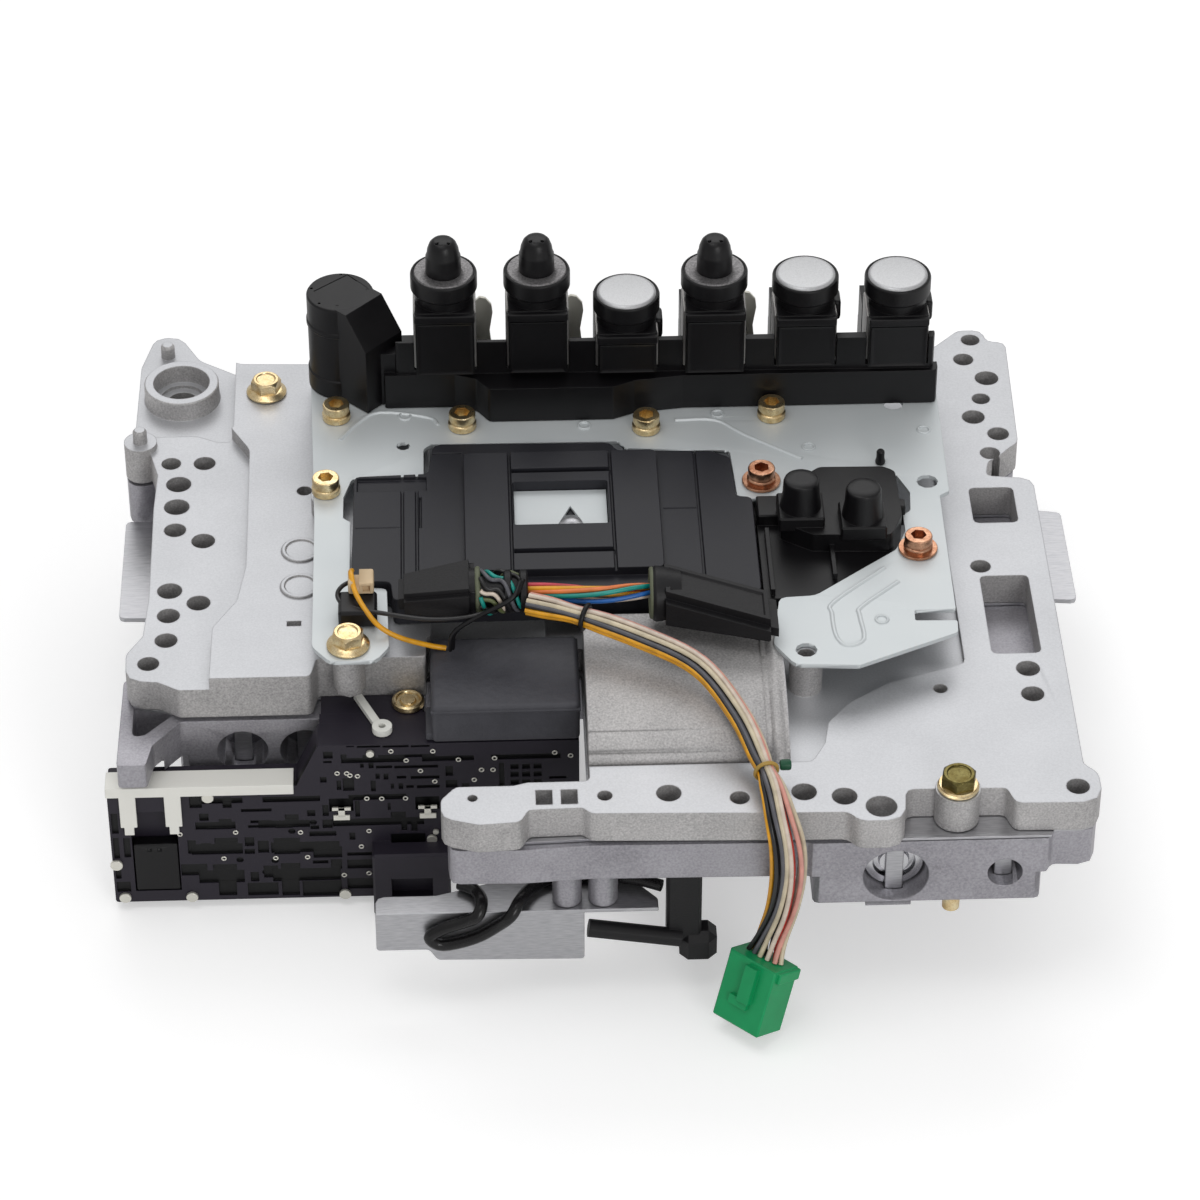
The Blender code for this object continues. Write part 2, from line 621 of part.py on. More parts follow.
BRACKET_HOLES = ((112.0, 93.5, 7.5), (120.2, 45.7, 7.8), (-69.4, 73.9, 5.0), (69.6, -48.8, 7.6))


def mounting_bracket():
    screws = [*SOCKET_SCREWS, FLANGE_BOLT_FRONT]
    holes = [circle(x, y, THREAD_DIAMETER + 2 * GAP, 8) for x, y in screws]
    holes += [circle(x, y, d, HOLE_STEPS) for x, y, d in BRACKET_HOLES[:3]]
    holes.append(circle(*OPEN_HOLE_POST, BRACKET_HOLES[3][2], HOLE_STEPS))
    plate = prism("mounting_bracket", bracket_outline(), BRACKET_BOTTOM, BRACKET_TOP, holes)
    return paint(plate, *ZINC)


# Control unit
UNIT_BOTTOM = PANEL_TOP + GAP
UNIT_SIDE_TOP = 57.2
UNIT_FRAME_TOP = 60.5
UNIT_WINDOW = (-30.0, 4.0, 18.5, 43.5)
WINDOW_FLOOR = 55.0


def control_unit():
    side = prism("control_unit", fillet([
        (-87.8, -7.5, 2), (-74, -8.5, 2), (-73, -19, 2), (56, -18, 2), (56, 36, 2), (50.2, 37, 2),
        (49.5, 60, 3), (43, 64, 2), (8.5, 66, 2), (6, 70.5, 3), (-58.5, 71.5, 3), (-60.5, 54, 2),
        (-87, 53, 2),
    ]), UNIT_BOTTOM, UNIT_SIDE_TOP)
    frame = prism("unit_frame", rectangle(-47.5, 22.5, -7.5, 61.5, 2), UNIT_BOTTOM + 2,
                  UNIT_FRAME_TOP)
    unite(side, frame)
    grooves = [
        box(f"unit_groove_{i}", x, x + 1.0, -20, 75, UNIT_SIDE_TOP - 1.0, UNIT_SIDE_TOP + 1)
        for i, x in enumerate((-70.2, -65.0, 36.0))
    ]
    window = prism("unit_window", rectangle(*UNIT_WINDOW, 1), WINDOW_FLOOR, UNIT_FRAME_TOP + 5)
    steps = [
        box("frame_step_left", -31.5, -30.5, -10, 65, UNIT_FRAME_TOP - 1.5, UNIT_FRAME_TOP + 1),
        box("frame_step_right", 5.0, 6.0, -10, 65, UNIT_FRAME_TOP - 1.5, UNIT_FRAME_TOP + 1),
        box("frame_bar_rear", -30.2, 5.5, 49.0, 51.5, UNIT_FRAME_TOP - 2, UNIT_FRAME_TOP + 1),
        box("frame_bar_front", -30.2, 5.5, 2.0, 4.5, UNIT_FRAME_TOP - 2, UNIT_FRAME_TOP + 1),
    ]
    cut(side, window, *steps, *grooves)
    return paint(side, *BLACK)


def unit_window_plate():
    """Bright plate seen in the window, with the cone-shaped notch at its front."""
    x0, x1, y0, y1 = UNIT_WINDOW
    middle = (x0 + x1) / 2 + 3.5
    outline = [
        (x0 + GAP, y0 + GAP), (middle - 6.5, y0 + GAP), (middle, y0 + 15.5),
        (middle + 6.5, y0 + GAP), (x1 - GAP, y0 + GAP), (x1 - GAP, y1 - GAP), (x0 + GAP, y1 - GAP),
    ]
    plate = prism("unit_window_plate", outline, WINDOW_FLOOR + GAP, WINDOW_FLOOR + GAP + 1.2)
    return paint(plate, *ZINC)


TERMINAL_CAPS = ((72.3, 21.5), (94.0, 15.5))
SKIRT_TOP = 52.5


def terminal_block():
    """Octagonal block beside the unit, with its two round caps."""
    outline = fillet([
        (64.8, 17, 2), (76, 9.5, 2), (104.0, 8.3, 3), (108.6, 20, 3), (108.3, 46, 3), (104, 48.8, 2),
        (81, 49.2, 3), (68, 38, 2),
    ])
    block = prism("terminal_block", outline, 47, 60)
    caps = [
        turned(f"terminal_cap_{i}", [
            (0, 76), (5.2, 76), (6.2, 75), (6.4, 61), (6.4, 58), (0, 58),
        ], (x, y, 0), steps=16)
        for i, (x, y) in enumerate(TERMINAL_CAPS)
    ]
    flats = [
        box(f"terminal_foot_{i}", x - 8.2, x + 8.2, y - 8, y + 8, 58, 64, bevel=0.6)
        for i, (x, y) in enumerate(TERMINAL_CAPS)
    ]
    skirt = prism("terminal_skirt", fillet([
        (57.2, -17, 1), (73.5, -17, 2), (105, 9, 2), (107, 30, 2), (57.2, 30, 1),
    ]), UNIT_BOTTOM, SKIRT_TOP)
    ribs = [
        box(f"skirt_rib_{i}", x, x + 1.6, y, 20, SKIRT_TOP - 1, SKIRT_TOP + 3)
        for i, (x, y) in enumerate(((59.5, -15.5), (82.0, -7.5)))
    ]
    step = box("terminal_step", 57.4, 66, 25, 37, SKIRT_TOP - 1, SKIRT_TOP + 4.5, bevel=0.5)
    unite(block, skirt, step, *ribs, *flats, *caps)
    return paint(block, *BLACK)


# Solenoids: x, y of the axis and height of the top disc; the two kinds share their coil
SOLENOIDS = (
    (-53.2, 105.0, 111.0, "nub"), (-19.3, 105.3, 111.0, "nub"), (13.4, 104.0, 101.0, "disc"),
    (45.4, 103.0, 111.0, "nub"), (79.0, 106.0, 106.0, "disc"), (112.7, 104.5, 106.0, "disc"),
)
HOUSING_TOP = 84.0
HOUSING_FRONT = 97.0
HOUSING_BACK = 130.0
COIL_HALF = 11.2
# Top of a coil: a cup with a thin wall, and the steel ring or disc that closes it
CUP_RADIUS = 11.7
CUP_INNER = 10.6
CUP_LIP = 0.4
RING_OUTER = CUP_INNER - GAP
RING_HEIGHT = 2.4
NUB_RADIUS = 6.0
NUB_HEIGHT = 13.5


def solenoid_housing():
    floor = BRACKET_TOP + GAP
    body = prism("solenoid_housing", fillet([
        (-76, HOUSING_FRONT, 1), (-50, HOUSING_FRONT, 2), (-42, 94, 2), (-37.5, 87.3, 2),
        (8, 87.3, 2), (16, 91, 2), (34, 93.5, 2), (128, 93.5, 2), (128, HOUSING_BACK, 3),
        (-76, HOUSING_BACK, 3),
    ]), floor, HOUSING_TOP - 14)
    wall = prism("housing_wall", fillet([
        (-72, HOUSING_FRONT + 1, 2), (126.5, HOUSING_FRONT - 2, 2), (126.5, HOUSING_BACK - 1, 2),
        (-72, HOUSING_BACK - 1, 2),
    ]), floor + 8, HOUSING_TOP)
    arm = prism("housing_arm", fillet([
        (-88, 55.3, 1), (-88, 93, 1), (-80, 93.5, 1), (-62.5, 80, 2), (-60, 72, 1), (-60, 55.3, 1),
    ]), HOUSING_FRONT + 2.5, 122, upright=True)
    unite(body, wall, arm)
    seats = [
        box(f"coil_seat_{i}", x - COIL_HALF - GAP, x + COIL_HALF + GAP, 80, y + COIL_HALF + GAP,
            HOUSING_TOP - 12, HOUSING_TOP + 20)
        for i, (x, y, _, _) in enumerate(SOLENOIDS)
    ]
    bay = rod("connector_bay", (CONNECTOR_X, CONNECTOR_Y, 50), 2 * (CONNECTOR_RADIUS + GAP), 60,
              steps=28)
    cut(body, *seats, bay)
    return paint(body, *BLACK)


CONNECTOR_X = -91.5
CONNECTOR_Y = 116.0
CONNECTOR_RADIUS = 12.8
CONNECTOR_TOP = 95.0


def case_connector():
    body = turned("case_connector", [
        (0, CONNECTOR_TOP), (11.8, CONNECTOR_TOP), (12.8, CONNECTOR_TOP - 1), (12.8, 82),
        (12.2, 81.5), (12.2, 63), (12.8, 62.5), (12.8, BRACKET_TOP + GAP),
        (0, BRACKET_TOP + GAP),
    ], (CONNECTOR_X, CONNECTOR_Y, 0), steps=20)
    slot = box("connector_slot", CONNECTOR_X - 3, CONNECTOR_X + 8, CONNECTOR_Y - 0.6,
               CONNECTOR_Y + 0.6, CONNECTOR_TOP - 0.8, CONNECTOR_TOP + 2)
    cut(body, slot)
    return paint(body, *BLACK)


def solenoid(index, x, y, top, kind):
    """Coil block, cup and, on the tall kind, the nub that passes through the top ring."""
    floor = HOUSING_TOP - 12 + GAP
    seat = top - RING_HEIGHT - GAP
    coil = box(f"solenoid_{index}", x - COIL_HALF, x + COIL_HALF, y - COIL_HALF, y + COIL_HALF - 0.4,
               floor, seat - 8.5, bevel=0.8)
    lip = top - CUP_LIP
    if kind == "nub":
        peak = top + NUB_HEIGHT
        profile = [
            (0, peak), (3.0, peak - 0.4), (4.6, peak - 1.8), (5.4, peak - 4.2),
            (NUB_RADIUS - 0.4, top + 1), (NUB_RADIUS, seat),
        ]
    else:
        profile = [(0, seat)]
    profile += [
        (CUP_INNER, seat), (CUP_INNER, lip), (CUP_RADIUS - 0.4, lip), (CUP_RADIUS, lip - 0.6),
        (CUP_RADIUS, seat - 4), (CUP_INNER, seat - 5), (CUP_INNER, seat - 12), (0, seat - 12),
    ]
    cup = turned(f"cup_{index}", profile, (x, y, 0), steps=14)
    front = y - COIL_HALF
    band = box(f"coil_band_{index}", x - COIL_HALF + 0.9, x + COIL_HALF - 0.9, front - 1.4, front + 2,
               floor + 1, seat - 11, bevel=0.4)
    unite(coil, cup, band)
    return paint(coil, *BLACK)


def solenoid_top(index, x, y, top, kind):
    if kind == "nub":
        inner = NUB_RADIUS + GAP
        ring = turned(f"solenoid_ring_{index}", [
            (inner, top), (RING_OUTER - 0.6, top), (RING_OUTER, top - 0.5),
            (RING_OUTER, top - RING_HEIGHT), (inner, top - RING_HEIGHT),
        ], (x, y, 0), steps=14, ring=True)
        return paint(ring, *STEEL)
    disc = turned(f"solenoid_disc_{index}", [
        (0, top + 0.4), (RING_OUTER - 1.2, top + 0.4), (RING_OUTER, top - 0.6),
        (RING_OUTER, top - RING_HEIGHT), (0, top - RING_HEIGHT),
    ], (x, y, 0), steps=14)
    return paint(disc, *ZINC)


def solenoid_clip():
    """Strip behind the coils with a tab that shows beside each tall solenoid."""
    back = HOUSING_BACK + GAP
    tabs = [x + 15.2 for x, _, _, kind in SOLENOIDS if kind == "nub"]
    low, high, peak = 70.0, 80.0, 92.0
    outline = [(-62, low), (122, low), (122, high)]
    for x in reversed(tabs):
        outline += [(x + 4, high), (x + 4, peak), (x - 4, peak), (x - 4, high)]
    outline.append((-62, high))
    strip = prism("solenoid_clip", outline, back, back + 1.2, upright=True)
    return paint(strip, *ZINC)


def hexagon(x, y, across, twist=0.0):
    return [
        (x + across / 2 * math.cos(math.radians(60 * i + twist)),
         y + across / 2 * math.sin(math.radians(60 * i + twist)))
        for i in range(6)
    ]


def socket_screw(index, x, y):
    """Socket head cap screw seated on the bracket."""
    seat = BRACKET_TOP + GAP
    top = seat + SOCKET_HEAD_HEIGHT
    head = SOCKET_HEAD_DIAMETER / 2
    body = turned(f"socket_screw_{index}", [
        (0, top), (head - 0.6, top), (head, top - 0.6), (head, seat),
        (THREAD_DIAMETER / 2, seat), (THREAD_DIAMETER / 2, PANEL_TOP - 3), (0, PANEL_TOP - 3),
    ], (x, y, 0), steps=12)
    key = prism(f"key_{index}", hexagon(x, y, 5.8), top - 3, top + 1)
    cut(body, key)
    return paint(body, *GOLD)


def flange_bolt(name, x, y, seat, length, across=11.5, flange=15.0):
    seat += GAP
    body = turned(name, [
        (0, seat + 2.0), (across / 2, seat + 2.0), (flange / 2 - 0.8, seat + 1.2),
        (flange / 2, seat + 0.9), (flange / 2, seat), (THREAD_DIAMETER / 2, seat),
        (THREAD_DIAMETER / 2, seat - length), (0, seat - length),
    ], (x, y, 0), steps=12)
    head = prism(f"{name}_head", hexagon(x, y, across, 12), seat + 0.5, seat + 6.4)
    dish = turned(f"{name}_dish", [
        (0, seat + 8), (3.6, seat + 8), (3.2, seat + 5.9), (0, seat + 5.9),
    ], (x, y, 0), steps=10)
    unite(body, head)
    cut(body, dish)
    return body


HEX_BOLT_END = 12.0


def hex_bolt():
    """Long bolt of the front right boss; its end shows under the block."""
    body = flange_bolt("hex_bolt", BOSS_X, BOSS_Y, BOSS_TOP, BOSS_TOP + HEX_BOLT_END, 12.6, 14.2)
    return paint(body, *OLIVE)


def brass_bolt():
    """Round-headed bolt that holds the ear of the position switch."""
    seat = SHELF_TOP + GAP
    shank = BRASS_SHANK / 2
    body = turned("brass_bolt", [
        (0, seat + 3.4), (3.0, seat + 3.2), (5.0, seat + 2.0), (5.4, seat), (shank, seat),
        (shank, seat - BRASS_LENGTH), (0, seat - BRASS_LENGTH),
    ], (BRASS_X, BRASS_Y, 0), steps=14)
    return paint(body, *GOLD)


def stud(index, x, y, seat):
    """End of a stud pressed into the casting."""
    r = STUD_DIAMETER / 2
    top = seat + STUD_HEIGHT
    return turned(f"stud_{index}", [
        (0, top), (r - 0.7, top), (r, top - 0.8), (r, seat - 2), (0, seat - 2),
    ], (x, y, 0), steps=8)


# Debossed tracks on the face of the switch: height, then pairs of left and right
TRACK_ROWS = (
    (22.5, 2.4, ((-92, -70), (-64, -46), (-40, -16))),
    (5.5, 2.6, ((-142, -127), (-120, -100), (-90, -70))),
    (-6.0, 3.4, ((-144, -130), (-122, -104), (-96, -64))),
    (-17.0, 5.0, ((-146, -128), (-118, -94))),
    (-30.0, 6.0, ((-144, -128), (-118, -94))),
)
TRACK_DEPTH = 1.0


def position_switch():
    outline = fillet([
        (BOARD_LEFT, BOARD_BOTTOM, 1), (BOARD_RIGHT, BOARD_BOTTOM, 1), (BOARD_RIGHT, 2, 1),
        (SHELF_RIGHT, 2, 1), (SHELF_RIGHT, SHELF_TOP, 1), (SHELF_LEFT, SHELF_TOP, 1),
        (SHELF_LEFT - 8, BOARD_TOP, 0), (BOARD_LEFT, BOARD_TOP, 1),
    ])
    body = prism("position_switch", outline, BOARD_FRONT, BOARD_BACK, upright=True)
    shelf = box("switch_shelf", SHELF_LEFT + 0.5, SHELF_RIGHT - 0.5, BOARD_BACK - 2, SHELF_BACK,
                20, SHELF_TOP - 0.02)
    tongue = box("switch_tongue", SHELF_LEFT + 1, -63.5, SHELF_BACK - 4, TONGUE_BACK - GAP,
                 TONGUE_BOTTOM, SHELF_TOP - 0.04)
    socket = box("switch_socket", -82.5, -55.2, BOARD_FRONT - 8, BOARD_FRONT + 3, -43.5, -15,
                 bevel=0.8)
    unite(body, shelf, tongue, socket)
    tracks = []
    for row, (z, height, spans) in enumerate(TRACK_ROWS):
        for column, (x0, x1) in enumerate(spans):
            tracks.append(box(f"track_{row}_{column}", x0, x1, BOARD_FRONT - 2,
                              BOARD_FRONT + TRACK_DEPTH, z - height / 2, z + height / 2))
    channel = box("slider_channel", CHANNEL_LEFT, CHANNEL_RIGHT, BOARD_FRONT - 2,
                  BOARD_FRONT + CHANNEL_DEPTH, CHANNEL_BOTTOM, CHANNEL_BOTTOM + SLIDER_HEIGHT
                  + SLIDER_TRAVEL + 2 * GAP + 1)
    recess = box("socket_recess", -76.0, -61.5, BOARD_FRONT - 10, BOARD_FRONT - 2, -37, -26)
    ear = rod("brass_bolt_ear", (BRASS_X, BRASS_Y, SHELF_TOP - 15), BRASS_SHANK + 2 * GAP, 30, steps=8)
    cut(body, joined("tracks", tracks), channel, recess, ear)
    return paint(body, *BLACK)


def joined(name, pieces):
    """One cutter made of separate boxes."""
    bm = bmesh.new()
    for piece in pieces:
        bm.from_mesh(piece.data)
        bpy.data.objects.remove(piece)
    bmesh.ops.scale(bm, vec=(1 / MM, 1 / MM, 1 / MM), verts=bm.verts)
    return finish_mesh(bm, name)


def switch_slider():
    """Block that the shift lever moves up its channel, behind the tabs of the rail."""
    low = CHANNEL_BOTTOM + GAP
    body = box("switch_slider", CHANNEL_LEFT + GAP, CHANNEL_RIGHT - GAP, BOARD_FRONT,
               BOARD_FRONT + CHANNEL_DEPTH - GAP, low, low + SLIDER_HEIGHT, bevel=0.5)
    notches = [
        box(f"slider_notch_{i}", x, x + 1.6, BOARD_FRONT - 2, BOARD_FRONT + 1.2,
            low + SLIDER_HEIGHT - 3.4, low + SLIDER_HEIGHT - 1.8)
        for i, x in enumerate((CHANNEL_LEFT + 5.1, CHANNEL_LEFT + 8.6))
    ]
    cut(body, *notches)
    return paint(body, *BLACK)


def switch_rail():
    """Steel rail on the top edge of the switch, with two T-shaped tabs down its face."""
    low = BOARD_TOP + GAP
    front = BOARD_FRONT - GAP - 1.0
    rail = box("switch_rail", BOARD_LEFT - 0.4, SHELF_LEFT - 9, front, BOARD_BACK - 4, low, low + 1.2)
    lip = box("rail_lip", BOARD_LEFT - 0.4, SHELF_LEFT - 9, front, front + 1.0, low - 3.0, low + 1.0)
    tabs = []
    for i, x in enumerate((CHANNEL_LEFT - 0.4, CHANNEL_RIGHT - 0.9)):
        tabs.append(box(f"rail_tab_{i}", x - 2.9, x + 2.9, front, front + 1.0, -5.0, low))
        tabs.append(box(f"rail_foot_{i}", x - 1.7, x + 1.7, front, front + 1.0, -8.5, -4.0))
    unite(rail, lip, *tabs)
    return paint(rail, *STEEL)


def harness_cover():
    low = SHELF_TOP + GAP
    body = box("harness_cover", -60.3, -9.2, BOARD_FRONT - 0.5, -26.3, low, low + 16, bevel=2.0)
    foot = box("cover_foot", -62.5, -50, BOARD_FRONT + 1, -48, low, low + 3)
    unite(body, foot)
    return paint(body, *BLACK)


def cover_link():
    """White rod with an eye, lying over the rear of the switch."""
    low = SHELF_TOP + GAP
    eye = prism("cover_link", circle(-77.6, -57.0, 7.0, 18), low, low + 2.4,
                [circle(-77.6, -57.0, 2.6, 10)])
    bar = box("link_bar", -1.4, 1.4, 0, 17, 0, 2.0)
    turn = Matrix.Rotation(math.radians(24), 4, "Z")
    bar.data.transform(Matrix.Translation((-79.4 * MM, -54.6 * MM, (low + 0.2) * MM)) @ turn)
    unite(eye, bar)
    return paint(eye, *WHITE)


def sensor_bracket():
    top = SENSOR_SHELF_TOP
    front = SENSOR_BRACKET_FRONT
    shelf = prism("sensor_bracket", fillet([
        (-81, front, 0), (16, front, 0), (16, front + 5, 2), (6, -96, 4), (-28, -94, 4), (-60, -104, 4),
        (-81, -104, 3),
    ]), top - SHEET, top)
    flange = prism("bracket_flange", fillet([
        (-81, -22, 1), (-63, -22, 2), (-60, -27, 2), (-9.4, -28, 1), (-9.4, top, 0),
        (-81, top, 0),
    ]), front, front + SHEET, upright=True)
    unite(shelf, flange)
    return paint(shelf, *STEEL)


LEAD_LEFT = -8.5
LEAD_Y = -111.0
LEAD_Z = -21.0
LEAD_DIAMETER = 6.5
LEAD_TILT = math.radians(10)


def revolution_sensor():
    body = box("revolution_sensor", 19, 31, -111, -101, -24, LOWER_BOTTOM - GAP, bevel=1.0)
    tip = box("sensor_tip", 23.5, 36.5, -113, -101.5, -32.5, -19, bevel=3.0)
    lead = rod("sensor_lead", (LEAD_LEFT, LEAD_Y, LEAD_Z), LEAD_DIAMETER, 24 - LEAD_LEFT, axis="X",
               steps=12)
    turn = Matrix.Translation((24 * MM, 0, LEAD_Z * MM)) @ Matrix.Rotation(LEAD_TILT, 4, "Y")
    lead.data.transform(turn @ Matrix.Translation((-24 * MM, 0, -LEAD_Z * MM)))
    unite(body, tip, lead)
    return paint(body, *BLACK)


def tube(name, route, diameter, pieces):
    """A wire on a smooth curve through the route's points."""
    curve = bpy.data.curves.new(name, "CURVE")
    curve.dimensions = "3D"
    curve.bevel_depth = diameter / 2 * MM
    curve.bevel_resolution = 2
    curve.use_fill_caps = True
    points = smooth_points([Vector(p) for p in route], pieces)
    spline = curve.splines.new("POLY")
    spline.points.add(len(points) - 1)
    for point, place in zip(spline.points, points):
        point.co = (*(place * MM), 1)
    return link(bpy.data.objects.new(name, curve))


def smooth_points(route, pieces):
    """Points of the centripetal spline through the route."""
    points = []
    ends = [2 * route[0] - route[1], *route, 2 * route[-1] - route[-2]]
    for i in range(1, len(ends) - 2):
        p0, p1, p2, p3 = ends[i - 1:i + 3]
        for step in range(pieces):
            t = step / pieces
            points.append(0.5 * (2 * p1 + (p2 - p0) * t + (2 * p0 - 5 * p1 + 4 * p2 - p3) * t ** 2
                                 + (3 * p1 - p0 - 3 * p2 + p3) * t ** 3))
    points.append(route[-1])
    return points


HARNESS_DIAMETER = 9.0
HARNESS_ROUTE = (
    (-26.0, -34.0, 66.5), (-10.0, -40.0, 66.0), (12.0, -50.0, 63.5), (32.0, -63.0, 60.5),
    (44.5, -82.0, 54.5), (51.0, -99.0, 48.5), (54.0, -112.5, 47.0), (55.6, -122.3, 43.0),
    (57.4, -126.6, 34.0), (58.0, -126.0, 20.0), (56.8, -124.2, 4.0),
)
HARNESS_LEAD = 16.0


def harness():
    route = [
        *HARNESS_ROUTE, PLUG_TOP + PLUG_UP * (HARNESS_LEAD / 2 + GAP), PLUG_TOP + PLUG_UP * GAP,
    ]
    return paint(tube("harness", route, HARNESS_DIAMETER, 2), *RUBBER)


# The plug hangs turned and tilted on its wires: middle of its top, and its axes
PLUG_TOP = Vector((51.8, -127.0, -16.3))
PLUG_SIZE = (20.0, 14.0, 25.0)
PLUG_ACROSS = Vector((0.725, -0.689, 0.025)).normalized()
PLUG_UP = Vector((0.257, 0.304, 0.918)).normalized()
PLUG_COLLAR = 4.5


def green_connector():
    """Plug with a collar round its wires, a latch on its front and a keyway beside it."""
    width, depth, height = PLUG_SIZE
    body = box("green_connector", -width / 2, width / 2, -depth / 2, depth / 2, -height, 0, bevel=0.5)
    collar = box("plug_collar", -width / 2 - 1.2, width / 2 + 1.2, -depth / 2 + 2, depth / 2,
                 -PLUG_COLLAR, -0.4, bevel=0.4)
    latch = box("plug_latch", -1.0, 4.0, -depth / 2 - 2.2, -depth / 2 + 1, -15, -1.5)
    hook = box("latch_hook", -4.5, 3.2, -depth / 2 - 1.4, -depth / 2 + 0.7, -17.5, -14.2)
    unite(body, collar, latch, hook)
    mouth = box("plug_mouth", -width / 2 + 1.5, width / 2 - 1.5, -depth / 2 + 1.5, depth / 2 - 1.5,
                -height - 1, -height + 9)
    cut(body, mouth)
    up = PLUG_UP
    back = up.cross(PLUG_ACROSS).normalized()
    axes = Matrix((back.cross(up), back, up)).transposed().to_4x4()
    body.data.transform(Matrix.Translation(PLUG_TOP * MM) @ axes)
    return paint(body, *GREEN)


def wedge(name, x0, left, x1, right, bevel):
    """A block whose two ends differ: each end gives its y range and its top."""
    low = UNIT_SIDE_TOP + GAP
    bm = bmesh.new()
    rings = []
    for x, (y0, y1, top) in ((x0, left), (x1, right)):
        rings.append([bm.verts.new((x, *place)) for place in
                      ((y0, low), (y1, low), (y1, top), (y0, top))])
    near, far = rings
    bm.faces.new(near)
    bm.faces.new(reversed(far))
    for i in range(4):
        bm.faces.new((near[i], far[i], far[i - 3], near[i - 3]))
    bmesh.ops.bevel(bm, geom=bm.edges, offset=bevel, segments=2, affect="EDGES")
    return finish_mesh(bm, name)


# Mouths of the two rubber boots, where their wires go in: x of the rim's face, y and z
LEFT_MOUTH = (-43.0, -24.6, 65.6)
RIGHT_MOUTH = (16.5, -28.0, 65.5)
MOUTH_DIAMETER = 13.0
RIM_DIAMETER = 17.0
RIM_LENGTH = 3.5


def left_boot():
    """Boot over the left plug of the control unit, with its taped bundle of wires."""
    x, y, z = LEFT_MOUTH
    body = wedge("left_boot", -71, (-29, -14, 66), x - 1.5, (-34, -13, 72), 2.0)
    rim = rod("left_boot_rim", (x - RIM_LENGTH, y, z), RIM_DIAMETER - 2, RIM_LENGTH, axis="X",
              steps=16)
    taped = rod("taped_bundle", (x - 1, y - 2, z + 0.5), 11, 16.5, axis="X", steps=12)
    unite(body, rim, taped)
    return paint(body, *RUBBER)


def right_boot():
    """Boot over the right plug, its round mouth facing the left one."""
    x, y, z = RIGHT_MOUTH
    body = wedge("right_boot", x + 2, (-39, -17, 73), 60, (-51, -29, 67), 3.0)
    rim = rod("right_boot_rim", (x, y, z), RIM_DIAMETER, RIM_LENGTH, axis="X", steps=16)
    unite(body, rim)
    mouth = rod("boot_mouth", (x - 1, y, z), MOUTH_DIAMETER, 4, axis="X", steps=16)
    cut(body, mouth)
    return paint(body, *RUBBER)


BRANCH_DIAMETER = 6.0


def branch_wires():
    """Short arc of coloured wires from one boot to the other."""
    x, y, z = RIGHT_MOUTH
    route = (
        (-26.2, -26.0, 67.0), (-14.0, -29.0, 67.8), (-1.0, -30.5, 68.0), (10.0, -29.5, 67.0),
        (x + 2, y, z),
    )
    return paint(tube("branch_wires", route, BRANCH_DIAMETER, 3), *RUBBER)


def temperature_sensor():
    low = BRACKET_TOP + GAP
    body = box("temperature_sensor", -92, -78.5, -32, -19, low, low + 7, bevel=1.0)
    blade = box("sensor_blade", -84.5, -80.5, -21, -11, low + 0.5, low + 4)
    unite(body, blade)
    return paint(body, *BLACK)


CABLE_DIAMETER = 4.4


def sensor_cable():
    """Cable from the sensor along its shelf, then down and back in a hairpin on the bracket."""
    on_shelf = SENSOR_SHELF_TOP + GAP + CABLE_DIAMETER / 2
    front = SENSOR_BRACKET_FRONT - GAP - CABLE_DIAMETER / 2
    route = (
        (17.4, -104.5, on_shelf), (9, -101, on_shelf), (-4, -98.6, on_shelf), (-18, -98.8, on_shelf),
        (-27, -104, on_shelf + 0.2), (-31.5, -112, on_shelf + 1.2), (-34.5, front - 0.4, -4.3),
        (-39, front, -9), (-47, front, -14.5), (-58, front, -17.5), (-62.5, front, -14),
        (-58, front, -10), (-50, front, -6.8), (-46, front - 0.4, -4), (-44.5, -112, on_shelf + 1.2),
        (-46.5, -105, on_shelf + 0.2), (-52, -101, on_shelf),
    )
    return paint(tube("sensor_cable", route, CABLE_DIAMETER, 2), *RUBBER)


def valve_in_bore(name, x, z, front, diameter, length, lands):
    """A spool turned with lands and grooves, its near end at front."""
    r = diameter / 2 - SPOOL_CLEARANCE
    groove = r * 0.62
    land = length / (2 * lands - 1)
    profile = [(0, length)]
    for i in range(lands):
        top = length - 2 * i * land
        profile += [(r, top), (r, top - land)]
        if i < lands - 1:
            profile += [(groove, top - land), (groove, top - 2 * land)]
    profile.append((0, 0))
    spool = turned(name, profile, (x, front, z), axis="Y", steps=12)
    return paint(spool, *STEEL)


def bore_plug(name, x, z, front, diameter):
    """Plug with a ringed face, held by its retainer."""
    r = diameter / 2 - SPOOL_CLEARANCE
    y = front + RETAINER_DEPTH + RETAINER_THICKNESS + GAP
    plug = turned(name, [
        (0, PLUG_LENGTH), (r - 0.5, PLUG_LENGTH), (r, PLUG_LENGTH - 0.5), (r, 0.4), (r - 0.4, 0),
        (r * 0.72, 0), (r * 0.66, 1.6), (r * 0.52, 1.6), (r * 0.46, 0), (0, 0),
    ], (x, y, z), axis="Y", steps=14)
    return paint(plug, *ALUMINIUM)


def retainer(name, x, z, front, diameter, high):
    y = front + RETAINER_DEPTH
    half = RETAINER_WIDTH / 2
    plate = box(name, x - half, x + half, y, y + RETAINER_THICKNESS, z - diameter / 2 - 0.3, high)
    return paint(plate, *STEEL)


SPRING_WIRE = 1.6
SPRING_TURNS = 4


